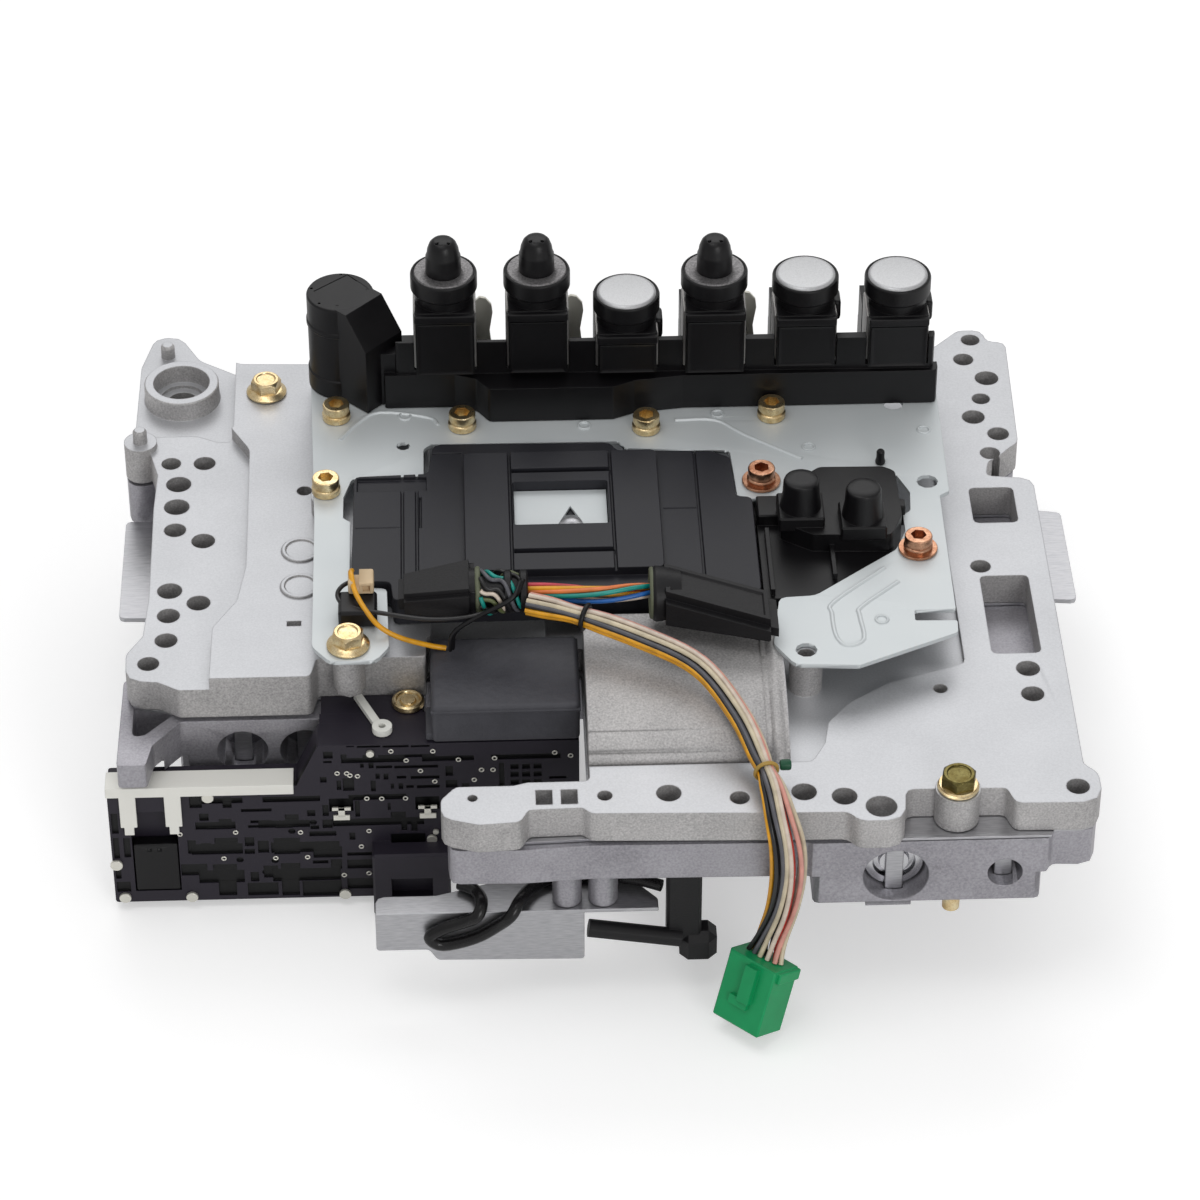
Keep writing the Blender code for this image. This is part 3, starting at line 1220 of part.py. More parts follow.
def spring(name, x, z, front, length, diameter):
    """Compression spring along Y."""
    radius = diameter / 2
    steps = 8
    curve = bpy.data.curves.new(name, "CURVE")
    curve.dimensions = "3D"
    curve.bevel_depth = SPRING_WIRE / 2 * MM
    curve.bevel_resolution = 1
    curve.use_fill_caps = True
    spline = curve.splines.new("POLY")
    count = SPRING_TURNS * steps
    spline.points.add(count)
    travel = length - SPRING_WIRE - 2 * GAP
    for i, point in enumerate(spline.points):
        angle = 2 * math.pi * i / steps
        y = front + GAP + SPRING_WIRE / 2 + travel * i / count
        place = Vector((x + radius * math.cos(angle), y, z + radius * math.sin(angle)))
        point.co = (*(place * MM), 1)
    return paint(link(bpy.data.objects.new(name, curve)), *STEEL)


REGULATOR_LENGTH = 34.0
PILOT_LENGTH = 30.0
SHIFT_LENGTH = 28.0


def valves():
    x, z, diameter = MAIN_BORE
    plug_end = BLOCK_FRONT + RETAINER_DEPTH + RETAINER_THICKNESS + GAP + PLUG_LENGTH
    bore_plug("regulator_plug", x, z, BLOCK_FRONT, diameter)
    retainer("regulator_retainer", x, z, BLOCK_FRONT, diameter, LOWER_TOP)
    spool_front = BLOCK_FRONT + MAIN_DEPTH - GAP - REGULATOR_LENGTH
    valve_in_bore("regulator_valve", x, z, spool_front, diameter, REGULATOR_LENGTH, 3)
    spring("regulator_spring", x, z, plug_end, spool_front - plug_end, 13.0)
    x, z, diameter = PILOT_BORE
    spool_front = BLOCK_FRONT + PILOT_DEPTH - GAP - PILOT_LENGTH
    valve_in_bore("pilot_valve", x, z, spool_front, diameter, PILOT_LENGTH, 3)
    retainer("pilot_retainer", x, z, BLOCK_FRONT, diameter, 25.5)
    spool_front = LEFT_BLOCK_FRONT + SHIFT_DEPTH - GAP - SHIFT_LENGTH
    for i, (x, z, diameter) in enumerate(SHIFT_BORES):
        valve_in_bore(f"shift_valve_{i + 1}", x, z, spool_front, diameter, SHIFT_LENGTH, 2)
        retainer(f"shift_retainer_{i + 1}", x, z, LEFT_BLOCK_FRONT, diameter, LOWER_TOP)
    manual_valve()


def manual_valve():
    """Spool moved by the shift lever, with the lever's groove at its free end."""
    r = MANUAL_DIAMETER / 2
    length = MANUAL_LENGTH
    valve = turned("manual_valve", [
        (0, length), (r, length), (r, length - 14), (r * 0.6, length - 14),
        (r * 0.6, length - 34), (r, length - 34), (r, length - 44), (r * 0.6, length - 44),
        (r * 0.6, length - 62), (r, length - 62), (r, 12), (r * 0.55, 12), (r * 0.55, 5), (r, 5),
        (r, 0), (0, 0),
    ], (MANUAL_LEFT, MANUAL_Y, MANUAL_Z), axis="X", steps=12)
    return paint(valve, *STEEL)


def main():
    upper_casting()
    separator_plate()
    lower_casting()
    support_plate()
    mounting_bracket()
    control_unit()
    unit_window_plate()
    terminal_block()
    solenoid_housing()
    solenoid_clip()
    case_connector()
    for i, place in enumerate(SOLENOIDS):
        solenoid(i + 1, *place)
        solenoid_top(i + 1, *place)
    for i, (x, y) in enumerate(SOCKET_SCREWS):
        socket_screw(i + 1, x, y)
    paint(flange_bolt("flange_bolt_front", *FLANGE_BOLT_FRONT, BRACKET_TOP, 12), *GOLD)
    paint(flange_bolt("flange_bolt_rear", *FLANGE_BOLT_REAR, PANEL_TOP, 9), *GOLD)
    hex_bolt()
    brass_bolt()
    position_switch()
    switch_slider()
    switch_rail()
    harness_cover()
    cover_link()
    sensor_bracket()
    revolution_sensor()
    temperature_sensor()
    left_boot()
    right_boot()
    branch_wires()
    harness()
    green_connector()
    sensor_cable()
    valves()


main()
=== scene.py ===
# %% [markdown]
# # The valve body of an automatic transmission
# Two aluminium castings bolted together steer the oil of a gearbox. On top sit a zinc-plated
# bracket, a black control unit and a row of solenoids, and a bundle of wires leaves for the case.
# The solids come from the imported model. This notebook gives each its real finish, and rebuilds
# the ones whose round or soft shapes need more faces than a working solid has.

# %% Load the solids
import math

import bpy
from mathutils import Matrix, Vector


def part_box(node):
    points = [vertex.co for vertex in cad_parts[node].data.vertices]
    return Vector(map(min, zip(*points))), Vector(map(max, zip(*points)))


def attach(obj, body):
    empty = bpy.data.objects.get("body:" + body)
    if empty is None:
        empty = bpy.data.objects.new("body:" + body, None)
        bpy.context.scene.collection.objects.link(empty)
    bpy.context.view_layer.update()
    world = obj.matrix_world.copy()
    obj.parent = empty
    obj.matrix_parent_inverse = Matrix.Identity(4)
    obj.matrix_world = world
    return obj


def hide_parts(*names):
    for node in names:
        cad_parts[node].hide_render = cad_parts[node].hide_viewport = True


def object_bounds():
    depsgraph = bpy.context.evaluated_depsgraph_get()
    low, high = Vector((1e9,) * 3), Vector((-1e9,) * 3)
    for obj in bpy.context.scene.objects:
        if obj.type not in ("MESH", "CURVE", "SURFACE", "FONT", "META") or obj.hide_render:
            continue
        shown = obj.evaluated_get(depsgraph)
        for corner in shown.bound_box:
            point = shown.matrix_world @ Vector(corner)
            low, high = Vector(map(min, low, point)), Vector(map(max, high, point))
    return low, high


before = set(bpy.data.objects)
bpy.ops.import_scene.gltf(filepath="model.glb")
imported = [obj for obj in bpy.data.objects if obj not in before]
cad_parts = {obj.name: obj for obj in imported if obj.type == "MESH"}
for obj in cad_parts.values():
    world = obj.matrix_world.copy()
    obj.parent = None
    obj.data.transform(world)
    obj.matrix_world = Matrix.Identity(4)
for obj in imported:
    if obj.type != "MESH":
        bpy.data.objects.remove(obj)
SOLID_BOX = [list(corner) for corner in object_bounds()]
MM = 0.001
ROOT = "valve_body"

# %% [markdown]
# ## Camera, lamps and floor
# The photograph was taken with a long lens from in front and above, so lines stay nearly
# parallel. A 135 mm lens from 1.6 m away gives the same picture. The camera comes first, because
# the length of wire that it sees decides how the harness has to lie.

# %% Camera
bpy.ops.object.camera_add(location=(-0.0451, -1.24787, 1.04039))
camera = bpy.context.object
camera.name = "camera"
camera.data.lens = 135
camera.data.sensor_width = 36
middle = Vector((0, 0, 0.040))
camera.rotation_euler = (middle - camera.location).to_track_quat("-Z", "Y").to_euler()
bpy.context.scene.camera = camera

# %% [markdown]
# ## Shader maths in plain Python
# Most finishes here are a colour, a roughness and a fine relief that change over the surface.
# Writing `0.4 + 0.1 * grain` is easier to read than a page of linked nodes, so one class wraps a
# socket and turns each operator into a Math node.


# %% A socket that can be used in sums
class Socket:
    def __init__(self, finish, output):
        self.finish = finish
        self.output = output

    def math(self, operation, *values, clamp=False):
        inputs = dict(enumerate((self, *values)))
        return self.finish.node("ShaderNodeMath", inputs, operation=operation, use_clamp=clamp)

    def __add__(self, other):
        return self.math("ADD", other)

    def __sub__(self, other):
        return self.math("SUBTRACT", other)

    def __rsub__(self, other):
        return self.finish.value(other).math("SUBTRACT", self)

    def __mul__(self, other):
        return self.math("MULTIPLY", other)

    def __truediv__(self, other):
        return self.math("DIVIDE", other)

    def __lt__(self, other):
        return self.math("LESS_THAN", other)

    __radd__ = __add__
    __rmul__ = __mul__

    def between(self, low, high, soft):
        """1 inside a range and 0 outside it, with soft edges."""
        rise = ((self - low) / soft).math("ADD", 0.5, clamp=True)
        fall = ((self - high) / soft).math("ADD", 0.5, clamp=True)
        return rise - fall


# %% A finish is one material and the nodes that feed it
class Finish:
    def __init__(self, name, colour, roughness, metallic=0.0):
        self.material = bpy.data.materials.new(name)
        self.material.use_nodes = True
        self.tree = self.material.node_tree
        self.shader = self.tree.nodes["Principled BSDF"]
        self.set(**{"Base Color": colour, "Roughness": roughness, "Metallic": metallic})
        self.normal = None

    def put(self, socket, value):
        if isinstance(value, Socket):
            self.tree.links.new(value.output, socket)
        else:
            socket.default_value = value

    def set(self, **values):
        for key, value in values.items():
            self.put(self.shader.inputs[key], value)

    def node(self, kind, inputs=(), output=0, **settings):
        made = self.tree.nodes.new(kind)
        for key, value in settings.items():
            setattr(made, key, value)
        for key, value in dict(inputs).items():
            self.put(made.inputs[key], value)
        return Socket(self, made.outputs[output])

    def value(self, number):
        return self.node("ShaderNodeMath", {0: number, 1: 0.0}, operation="ADD")

    def place(self, scale=(1, 1, 1)):
        """The point on the object, in millimetres."""
        point = self.node("ShaderNodeTexCoord", output="Object")
        size = tuple(1000 * s for s in scale)
        return self.node("ShaderNodeVectorMath", {0: point, 1: size}, operation="MULTIPLY")

    def axes(self):
        split = self.node("ShaderNodeSeparateXYZ", {0: self.place()})
        return [Socket(self, split.output.node.outputs[i]) for i in range(3)]

    def facing_up(self):
        """How far the surface faces upwards, from -1 to 1."""
        normal = self.node("ShaderNodeNewGeometry", output="Normal")
        return self.node("ShaderNodeSeparateXYZ", {0: normal}, output="Z")

    def noise(self, size, detail=3.0, scale=(1, 1, 1)):
        """Noise from 0 to 1 whose spots are about size millimetres."""
        inputs = {"Vector": self.place(scale), "Scale": 1 / size, "Detail": detail}
        return self.node("ShaderNodeTexNoise", inputs, output="Fac")

    def mix(self, factor, low, high):
        """A colour between two others."""
        made = self.node("ShaderNodeMix", {0: factor}, output=2, data_type="RGBA",
                         clamp_factor=True)
        self.put(made.output.node.inputs[6], low)
        self.put(made.output.node.inputs[7], high)
        return made

    def relief(self, height, depth):
        """Bumps the surface: a height of 1 stands depth millimetres proud."""
        inputs = {"Height": height, "Distance": depth * MM, "Strength": 1.0}
        if self.normal:
            inputs["Normal"] = self.normal
        self.normal = self.node("ShaderNodeBump", inputs)
        self.set(Normal=self.normal)
        return self

    def rounded(self, radius):
        """Lets sharp edges catch the light as if they had this radius in millimetres."""
        self.normal = self.node("ShaderNodeBevel", {"Radius": radius * MM}, samples=4)
        self.set(Normal=self.normal)
        return self


def rgb(red, green, blue):
    """A colour as a picture shows it, from 0 to 255, made linear for the shader."""
    parts = [c / 255 for c in (red, green, blue)]
    return (*[c / 12.92 if c < 0.04045 else ((c + 0.055) / 1.055) ** 2.4 for c in parts], 1.0)


# %% [markdown]
# The floor glows white for the camera and less brightly in reflections. For all other light it is
# an ordinary pale floor, so it keeps a soft shadow and throws no extra light on the metal.

# %% Floor and world
floor_level = SOLID_BOX[0][2] - 0.001
bpy.ops.mesh.primitive_plane_add(size=8, location=(0, 0, floor_level))
floor = bpy.context.object
floor.name = "floor"
floor_finish = Finish("floor white", rgb(228, 228, 228), 0.8)
seen = floor_finish.node("ShaderNodeLightPath", output="Is Camera Ray")
mirrored = floor_finish.node("ShaderNodeLightPath", output="Is Glossy Ray")
lift = seen.math("MAXIMUM", mirrored * 0.45)
floor_finish.set(**{"Emission Color": floor_finish.mix(lift, (0, 0, 0, 1), rgb(168, 168, 168))})
floor_finish.shader.inputs["Emission Strength"].default_value = 1.0
floor.data.materials.append(floor_finish.material)

world = bpy.data.worlds.new("studio")
bpy.context.scene.world = world
world.use_nodes = True
sky = world.node_tree.nodes["Background"]
sky.inputs["Color"].default_value = (1, 1, 1, 1)
sky.inputs["Strength"].default_value = 0.5
bpy.context.scene.view_settings.view_transform = "Standard"


# %% Lamps
def lamp(name, place, size, power):
    """A rectangular softbox that looks at the middle of the scene."""
    bpy.ops.object.light_add(type="AREA", location=place)
    light = bpy.context.object
    light.name = name
    light.data.shape = "RECTANGLE"
    light.data.size, light.data.size_y = size
    light.data.energy = power
    light.rotation_euler = (-light.location).to_track_quat("-Z", "Y").to_euler()


lamp("rear softbox", (0.1, 1.2, 1.3), (1.6, 0.9), 7.5)
lamp("top softbox", (-0.3, -0.2, 1.5), (0.9, 0.7), 4.5)
lamp("front fill", (0.6, -1.6, 0.7), (0.6, 0.6), 8)

# %% [markdown]
# ## Tools for shaping
# Every piece is worked as by hand: select it alone, shape it, apply the modifier, then seat it on
# the body that carries it. The helpers keep those steps the same for all pieces.


# %% Picking, shaping and seating
def only(obj):
    bpy.ops.object.select_all(action="DESELECT")
    obj.select_set(True)
    bpy.context.view_layer.objects.active = obj
    return obj


def shape(obj, kind, **settings):
    """Adds one modifier, sets it and applies it."""
    only(obj)
    modifier = obj.modifiers.new(kind.title(), kind)
    for key, value in settings.items():
        setattr(modifier, key, value)
    bpy.ops.object.modifier_apply(modifier=modifier.name)
    return obj


# Angles between neighbouring faces, in degrees: flat, shaded smooth, and sharp enough to round.
FLAT, SMOOTH, SHARP = 0.5, 32, 30


def merge_flat(obj):
    """Merges the triangles that lie in one plane."""
    return shape(obj, "DECIMATE", decimate_type="DISSOLVE", angle_limit=math.radians(FLAT))


def smooth(obj, degrees=SMOOTH):
    """Shades the surface smooth across edges that are blunter than this."""
    only(obj)
    bpy.ops.object.shade_smooth_by_angle(angle=math.radians(degrees))
    return obj


def soften(obj, width=0, segments=2):
    """Rounds the edges, if they get a width, and shades flat and curved faces cleanly."""
    if width:
        merge_flat(obj)
        shape(obj, "BEVEL", width=width * MM, segments=segments, limit_method="ANGLE",
              angle_limit=math.radians(SHARP))
    return shape(smooth(obj), "WEIGHTED_NORMAL", keep_sharp=True, weight=100)


def keep_level(obj):
    """Marks the rims of level faces as sharp, so that a slope beside them can't tint them."""
    level = {}
    for face in obj.data.polygons:
        for key in face.edge_keys:
            level.setdefault(key, set()).add(abs(face.normal.z) > 0.9999)
    for edge in obj.data.edges:
        if len(level[edge.key]) == 2:
            edge.use_edge_sharp = True


def combine(obj, tools, operation="DIFFERENCE"):
    """Cuts each tool from the piece, or joins it to the piece, and removes the tool."""
    for tool in tools:
        shape(obj, "BOOLEAN", operation=operation, object=tool, solver="MANIFOLD")
        bpy.data.objects.remove(tool)
    return obj


def spin(piece, angle, centre=(0, 0, 0)):
    """Turns a piece about an upright axis through a point."""
    only(piece)
    bpy.ops.transform.rotate(value=angle, orient_axis="Z",
                             center_override=tuple(Vector(centre) * MM))


def edit_faces(piece, wanted):
    """Opens a piece in edit mode with some of its faces picked."""
    only(piece)
    bpy.ops.object.mode_set(mode="EDIT")
    bpy.ops.mesh.select_mode(type="FACE")
    bpy.ops.mesh.select_all(action="DESELECT")
    bpy.ops.object.mode_set(mode="OBJECT")
    for face in piece.data.polygons:
        face.select = wanted(face)
    bpy.ops.object.mode_set(mode="EDIT")


def extent(node):
    """The lowest and the highest corner of a solid, in millimetres."""
    return [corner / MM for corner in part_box(node)]


def seat(piece, finish, *nodes, body=ROOT):
    """Fixes the place of a piece in its mesh and gives it its finish and its body."""
    only(piece)
    bpy.ops.object.transform_apply(location=True, rotation=True, scale=True)
    piece.data.materials.clear()
    piece.data.materials.append(finish.material)
    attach(piece, body)
    if nodes:
        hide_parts(*nodes)
    return piece


def from_solid(node, name):
    """A copy of a solid with its loose triangles joined into one closed skin."""
    piece = bpy.data.objects.new(name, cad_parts[node].data.copy())
    bpy.context.scene.collection.objects.link(piece)
    only(piece)
    bpy.ops.object.mode_set(mode="EDIT")
    bpy.ops.mesh.select_all(action="SELECT")
    bpy.ops.mesh.remove_doubles(threshold=0.00001)
    bpy.ops.object.mode_set(mode="OBJECT")
    return piece


TURNED = {"X": (0, math.pi / 2, 0), "Y": (-math.pi / 2, 0, 0), "Z": (0, 0, 0)}


def cylinder(name, centre, diameter, height, axis="Z", vertices=40):
    """A cylinder that starts at centre and runs along the axis."""
    bpy.ops.object.select_all(action="DESELECT")
    along = Vector([height / 2 if axis == a else 0 for a in "XYZ"])
    bpy.ops.mesh.primitive_cylinder_add(
        vertices=vertices, radius=diameter / 2 * MM, depth=height * MM,
        location=(Vector(centre) + along) * MM, rotation=TURNED[axis],
    )
    piece = bpy.context.object
    piece.name = name
    return piece


def block(name, low, high):
    """A box between two corners."""
    bpy.ops.object.select_all(action="DESELECT")
    low, high = Vector(low) * MM, Vector(high) * MM
    bpy.ops.mesh.primitive_cube_add(size=1, location=(low + high) / 2, scale=high - low)
    piece = bpy.context.object
    piece.name = name
    bpy.ops.object.transform_apply(location=True, rotation=False, scale=True)
    return piece


def lathe(name, profile, centre=(0, 0, 0), axis="Z", vertices=40):
    """A disc extruded up a profile of radius and height, and scaled at each step."""
    bpy.ops.object.select_all(action="DESELECT")
    radius, height = profile[0]
    bpy.ops.mesh.primitive_circle_add(vertices=vertices, radius=radius * MM, fill_type="NGON",
                                      location=(0, 0, height * MM))
    piece = bpy.context.object
    piece.name = name
    bpy.ops.object.transform_apply(location=True)
    bpy.ops.object.mode_set(mode="EDIT")
    bpy.ops.mesh.select_all(action="SELECT")
    for next_radius, next_height in profile[1:]:
        step = {"value": (0, 0, (next_height - height) * MM)}
        bpy.ops.mesh.extrude_region_move(TRANSFORM_OT_translate=step)
        ratio = next_radius / radius
        bpy.ops.transform.resize(value=(ratio, ratio, 1), center_override=(0, 0, 0))
        radius, height = next_radius, next_height
    bpy.ops.mesh.select_all(action="SELECT")
    bpy.ops.mesh.normals_make_consistent(inside=False)
    bpy.ops.object.mode_set(mode="OBJECT")
    piece.rotation_euler = TURNED[axis]
    piece.location = Vector(centre) * MM
    bpy.ops.object.transform_apply(location=True, rotation=True)
    return smooth(piece)


def dress(node, name, width, finish, segments=2, body=ROOT):
    """A copy of a solid with its edges rounded, seated in its place."""
    return seat(soften(from_solid(node, name), width, segments), finish, node, body=body)


def from_curve(name, points, closed, **settings):
    """A mesh made of a curve through the points, with its doubled points merged."""
    curve = bpy.data.curves.new(name, "CURVE")
    for key, value in settings.items():
        setattr(curve, key, value)
    spline = curve.splines.new("POLY")
    spline.points.add(len(points) - 1)
    for point, place in zip(spline.points, points):
        point.co = (*(Vector(place) * MM), 1)
    spline.use_cyclic_u = closed
    piece = bpy.data.objects.new(name, curve)
    bpy.context.scene.collection.objects.link(piece)
    only(piece)
    bpy.ops.object.convert(target="MESH")
    piece = only(bpy.context.object)
    bpy.ops.object.mode_set(mode="EDIT")
    bpy.ops.mesh.select_all(action="SELECT")
    bpy.ops.mesh.remove_doubles(threshold=0.000001)
    return piece


def plate(name, outline, thickness, finish_bevel=0.0):
    """A flat outline in X and Z, made thick along Y on both sides of Y = 0."""
    piece = from_curve(name, [(x, z, 0) for x, z in outline], True, dimensions="2D",
                       fill_mode="BOTH", extrude=thickness / 2 * MM)
    bpy.ops.mesh.normals_make_consistent(inside=False)
    bpy.ops.object.mode_set(mode="OBJECT")
    piece.rotation_euler = (math.pi / 2, 0, 0)
    bpy.ops.object.transform_apply(rotation=True)
    return soften(piece, finish_bevel) if finish_bevel else piece


def torus(name, place, radius, wire, around, across, rotation=(0, 0, 0)):
    """A ring of round wire, with this many faces around the ring and across the wire."""
    bpy.ops.object.select_all(action="DESELECT")
    bpy.ops.mesh.primitive_torus_add(
        major_radius=radius * MM, minor_radius=wire * MM, major_segments=around,
        minor_segments=across, location=Vector(place) * MM, rotation=rotation,
    )
    piece = bpy.context.object
    piece.name = name
    return piece


def join(name, pieces):
    """Makes one object of several, each closed on its own."""
    bpy.ops.object.select_all(action="DESELECT")
    for piece in pieces:
        piece.select_set(True)
    bpy.context.view_layer.objects.active = pieces[0]
    if len(pieces) > 1:
        bpy.ops.object.join()
    pieces[0].name = name
    return pieces[0]


def copied(piece, name, offset):
    twin = piece.copy()
    twin.data = piece.data.copy()
    twin.name = name
    bpy.context.scene.collection.objects.link(twin)
    twin.location = twin.location + Vector(offset) * MM
    return twin


# %% [markdown]
# ## Finishes
# The castings are the same alloy in two states. Milled faces are pale with a fine even grain, and
# faces as cast are darker, rougher and slightly uneven. The sheet steel is bright zinc, which
# mirrors its surroundings softly. The bolts have a yellow passivated skin that drifts in hue.

# %% Aluminium
def aluminium(name, pale, dark, grain, roughness):
    finish = Finish(name, pale, roughness, metallic=0.65).rounded(0.5)
    speckle = finish.noise(0.8, detail=3.0)
    cloud = finish.noise(22.0, detail=2.0)
    finish.set(**{
        "Base Color": finish.mix(speckle * 0.9 + cloud * 0.6 - 0.25, dark, pale),
        "Roughness": roughness + 0.18 * speckle - 0.06,
    })
    return finish.relief(speckle, grain)


casting_side = aluminium("cast skin", rgb(190, 188, 194), rgb(118, 116, 122), 0.035, 0.4)

# %% The upper casting: milled on top, as cast on the hump and the sides
milled = Finish("milled aluminium", rgb(205, 206, 208), 0.4, metallic=0.6).rounded(0.6)
x, y, z = milled.axes()
speckle = milled.noise(0.7, detail=3.0)
cloud = milled.noise(30.0, detail=2.0)
hump = x.between(-7.5, 61.5, 1.0) * y.between(-91.5, -23, 2.0) * z.between(41.3, 60, 0.6)
upward = milled.facing_up().between(0.8, 2.0, 0.1)
clean = upward * (1 - hump)
pale = milled.mix(speckle * 0.8 + cloud * 0.5 - 0.25, rgb(176, 177, 180), rgb(212, 213, 216))
rough = milled.mix(speckle * 1.0 + cloud * 0.6 - 0.3, rgb(122, 120, 121), rgb(220, 218, 217))
milled.set(**{
    "Base Color": milled.mix(clean, rough, pale),
    "Roughness": 0.52 - 0.16 * clean + 0.1 * speckle,
})
milled.relief(speckle * (1.2 - clean), 0.04)

# %% Sheet steel and zinc
zinc = Finish("bright zinc", rgb(206, 211, 212), 0.42, metallic=0.28).rounded(0.3)
wave = zinc.noise(26.0, detail=1.5)
frost = zinc.noise(0.5, detail=2.0)
zinc.set(**{
    "Base Color": zinc.mix(wave, rgb(200, 206, 208), rgb(216, 220, 221)),
    "Roughness": 0.38 + 0.14 * frost + 0.06 * wave,
})
zinc.relief(wave, 0.06).relief(frost, 0.012)

steel = Finish("rolled steel", rgb(178, 178, 182), 0.34, metallic=0.9).rounded(0.25)
streak = steel.noise(0.5, detail=2.0, scale=(0.12, 1, 1))
steel.set(**{
    "Base Color": steel.mix(streak, rgb(150, 150, 155), rgb(206, 206, 208)),
    "Roughness": 0.26 + 0.2 * streak,
})
steel.relief(streak, 0.02)

ground = Finish("ground steel", rgb(205, 205, 208), 0.22, metallic=1.0)
rings = ground.noise(0.3, detail=2.0)
ground.set(Roughness=0.16 + 0.16 * rings)

# %% Yellow passivated steel
def passivated(name, pale, warm, pocket_shade):
    finish = Finish(name, warm, 0.26, metallic=1.0)
    drift = finish.noise(3.5, detail=2.0)
    spots = finish.noise(0.8, detail=3.0)
    tint = finish.mix(drift * 2.2 - 0.6, warm, pale)
    finish.set(**{
        "Base Color": finish.mix(spots * 1.6 - 0.75, tint, pocket_shade),
        "Roughness": 0.2 + 0.2 * spots,
    })
    return finish.relief(spots, 0.02)


gold = passivated("yellow passivated", rgb(240, 224, 184), rgb(220, 190, 134), rgb(166, 128, 92))
olive = passivated("olive passivated", rgb(120, 112, 70), rgb(92, 80, 40), rgb(60, 46, 24))

# %% Plastics and rubber
def plastic(name, colour, roughness, texture=0.02, size=0.35, edge=0.3):
    finish = Finish(name, colour, roughness).rounded(edge)
    finish.set(**{"Specular IOR Level": 0.32})
    spark = finish.noise(size, detail=2.0)
    cloud = finish.noise(9.0, detail=2.0)
    paler = tuple(1.5 * c for c in colour[:3]) + (1.0,)
    finish.set(**{
        "Base Color": finish.mix(cloud, colour, paler),
        "Roughness": roughness - 0.06 + 0.12 * spark + 0.06 * cloud,
    })
    return finish.relief(spark, texture)


nylon = plastic("black nylon", rgb(9, 8, 10), 0.36)
unit_plastic = plastic("charcoal nylon", rgb(30, 30, 35), 0.42)
rubber = plastic("black rubber", rgb(17, 16, 18), 0.46, texture=0.06, size=0.8)
green = plastic("green nylon", rgb(13, 134, 80), 0.34)
white = plastic("white nylon", rgb(208, 208, 202), 0.45)

# %% [markdown]
# ## Wires
# The harness is a bundle of thin wires of many colours, tied in two places. It leaves the left
# boot, crosses the hump, bends down over the front edge and ends in the green plug. Each wire is a
# round curve that keeps its own place in the bundle, and the places open out towards the plug.


# %% Laying wires along a route
def smooth_points(route, pieces):
    """Points of the spline through the route."""
    points = []
    route = [Vector(p) for p in route]
    ends = [2 * route[0] - route[1], *route, 2 * route[-1] - route[-2]]
    for i in range(1, len(ends) - 2):
        p0, p1, p2, p3 = ends[i - 1:i + 3]
        for step in range(pieces):
            t = step / pieces
            points.append(0.5 * (2 * p1 + (p2 - p0) * t
                                 + (2 * p0 - 5 * p1 + 4 * p2 - p3) * t ** 2
                                 + (3 * p1 - p0 - 3 * p2 + p3) * t ** 3))
    points.append(route[-1])
    return points


def tube(name, points, diameter, finish, sides=3):
    """A round wire along the points, as a mesh with closed ends."""
    piece = from_curve(name, points, False, dimensions="3D", bevel_depth=diameter / 2 * MM,
                       bevel_resolution=sides, use_fill_caps=True)
    bpy.ops.object.mode_set(mode="OBJECT")
    smooth(piece, 50)
    piece.data.materials.clear()
    piece.data.materials.append(finish.material)
    return piece


def travel(points):
    """Two directions across the route at each point, carried along without a twist."""
    side = Vector((0, 0, 1))
    pairs = []
    for i in range(len(points)):
        ahead = (points[min(i + 1, len(points) - 1)] - points[max(i - 1, 0)]).normalized()
        side = (side - ahead * side.dot(ahead)).normalized()
        pairs.append((side.copy(), ahead.cross(side)))
    return pairs


def insulation(name, colour):
    finish = Finish(name, colour, 0.34)
    soil = finish.noise(5.0, detail=3.0)
    dark = tuple(0.55 * c for c in colour[:3]) + (1.0,)
    finish.set(**{"Base Color": finish.mix(soil * 1.6 - 0.5, colour, dark)})
    return finish.relief(finish.noise(0.6), 0.02)


COLOURS = {
    "yellow": rgb(236, 168, 30), "black": rgb(30, 29, 30), "white": rgb(224, 208, 192),
    "grey": rgb(92, 92, 98), "red": rgb(196, 60, 48), "pink": rgb(224, 158, 144),
    "blue": rgb(30, 104, 186), "teal": rgb(20, 150, 138), "orange": rgb(240, 132, 70),
    "brown": rgb(120, 66, 44), "rose": rgb(206, 66, 82), "cream": rgb(214, 200, 172),
    "moss": rgb(96, 104, 66),
}
WIRES = {key: insulation(f"{key} insulation", colour) for key, colour in COLOURS.items()}

# %% The harness on its way to the plug
HARNESS_ROUTE = (
    (-26.0, -34.0, 66.5), (-10.0, -40.0, 66.0), (12.0, -50.0, 63.5), (32.0, -63.0, 60.5),
    (44.5, -82.0, 54.5), (51.0, -99.0, 48.5), (54.0, -112.5, 47.0), (55.6, -122.3, 43.0),
    (57.4, -126.6, 34.0), (58.0, -126.0, 20.0), (56.8, -124.2, 4.0), (53.93, -124.48, -8.68),
    (51.88, -126.91, -16.02),
)
PLUG_ACROSS = Vector((0.725, -0.689, 0.025)).normalized()
PLUG_UP = Vector((0.257, 0.304, 0.918)).normalized()
PLUG_BACK = PLUG_UP.cross(PLUG_ACROSS)
FIRST_TIE = 1 / 12
SECOND_TIE = 32 / 72
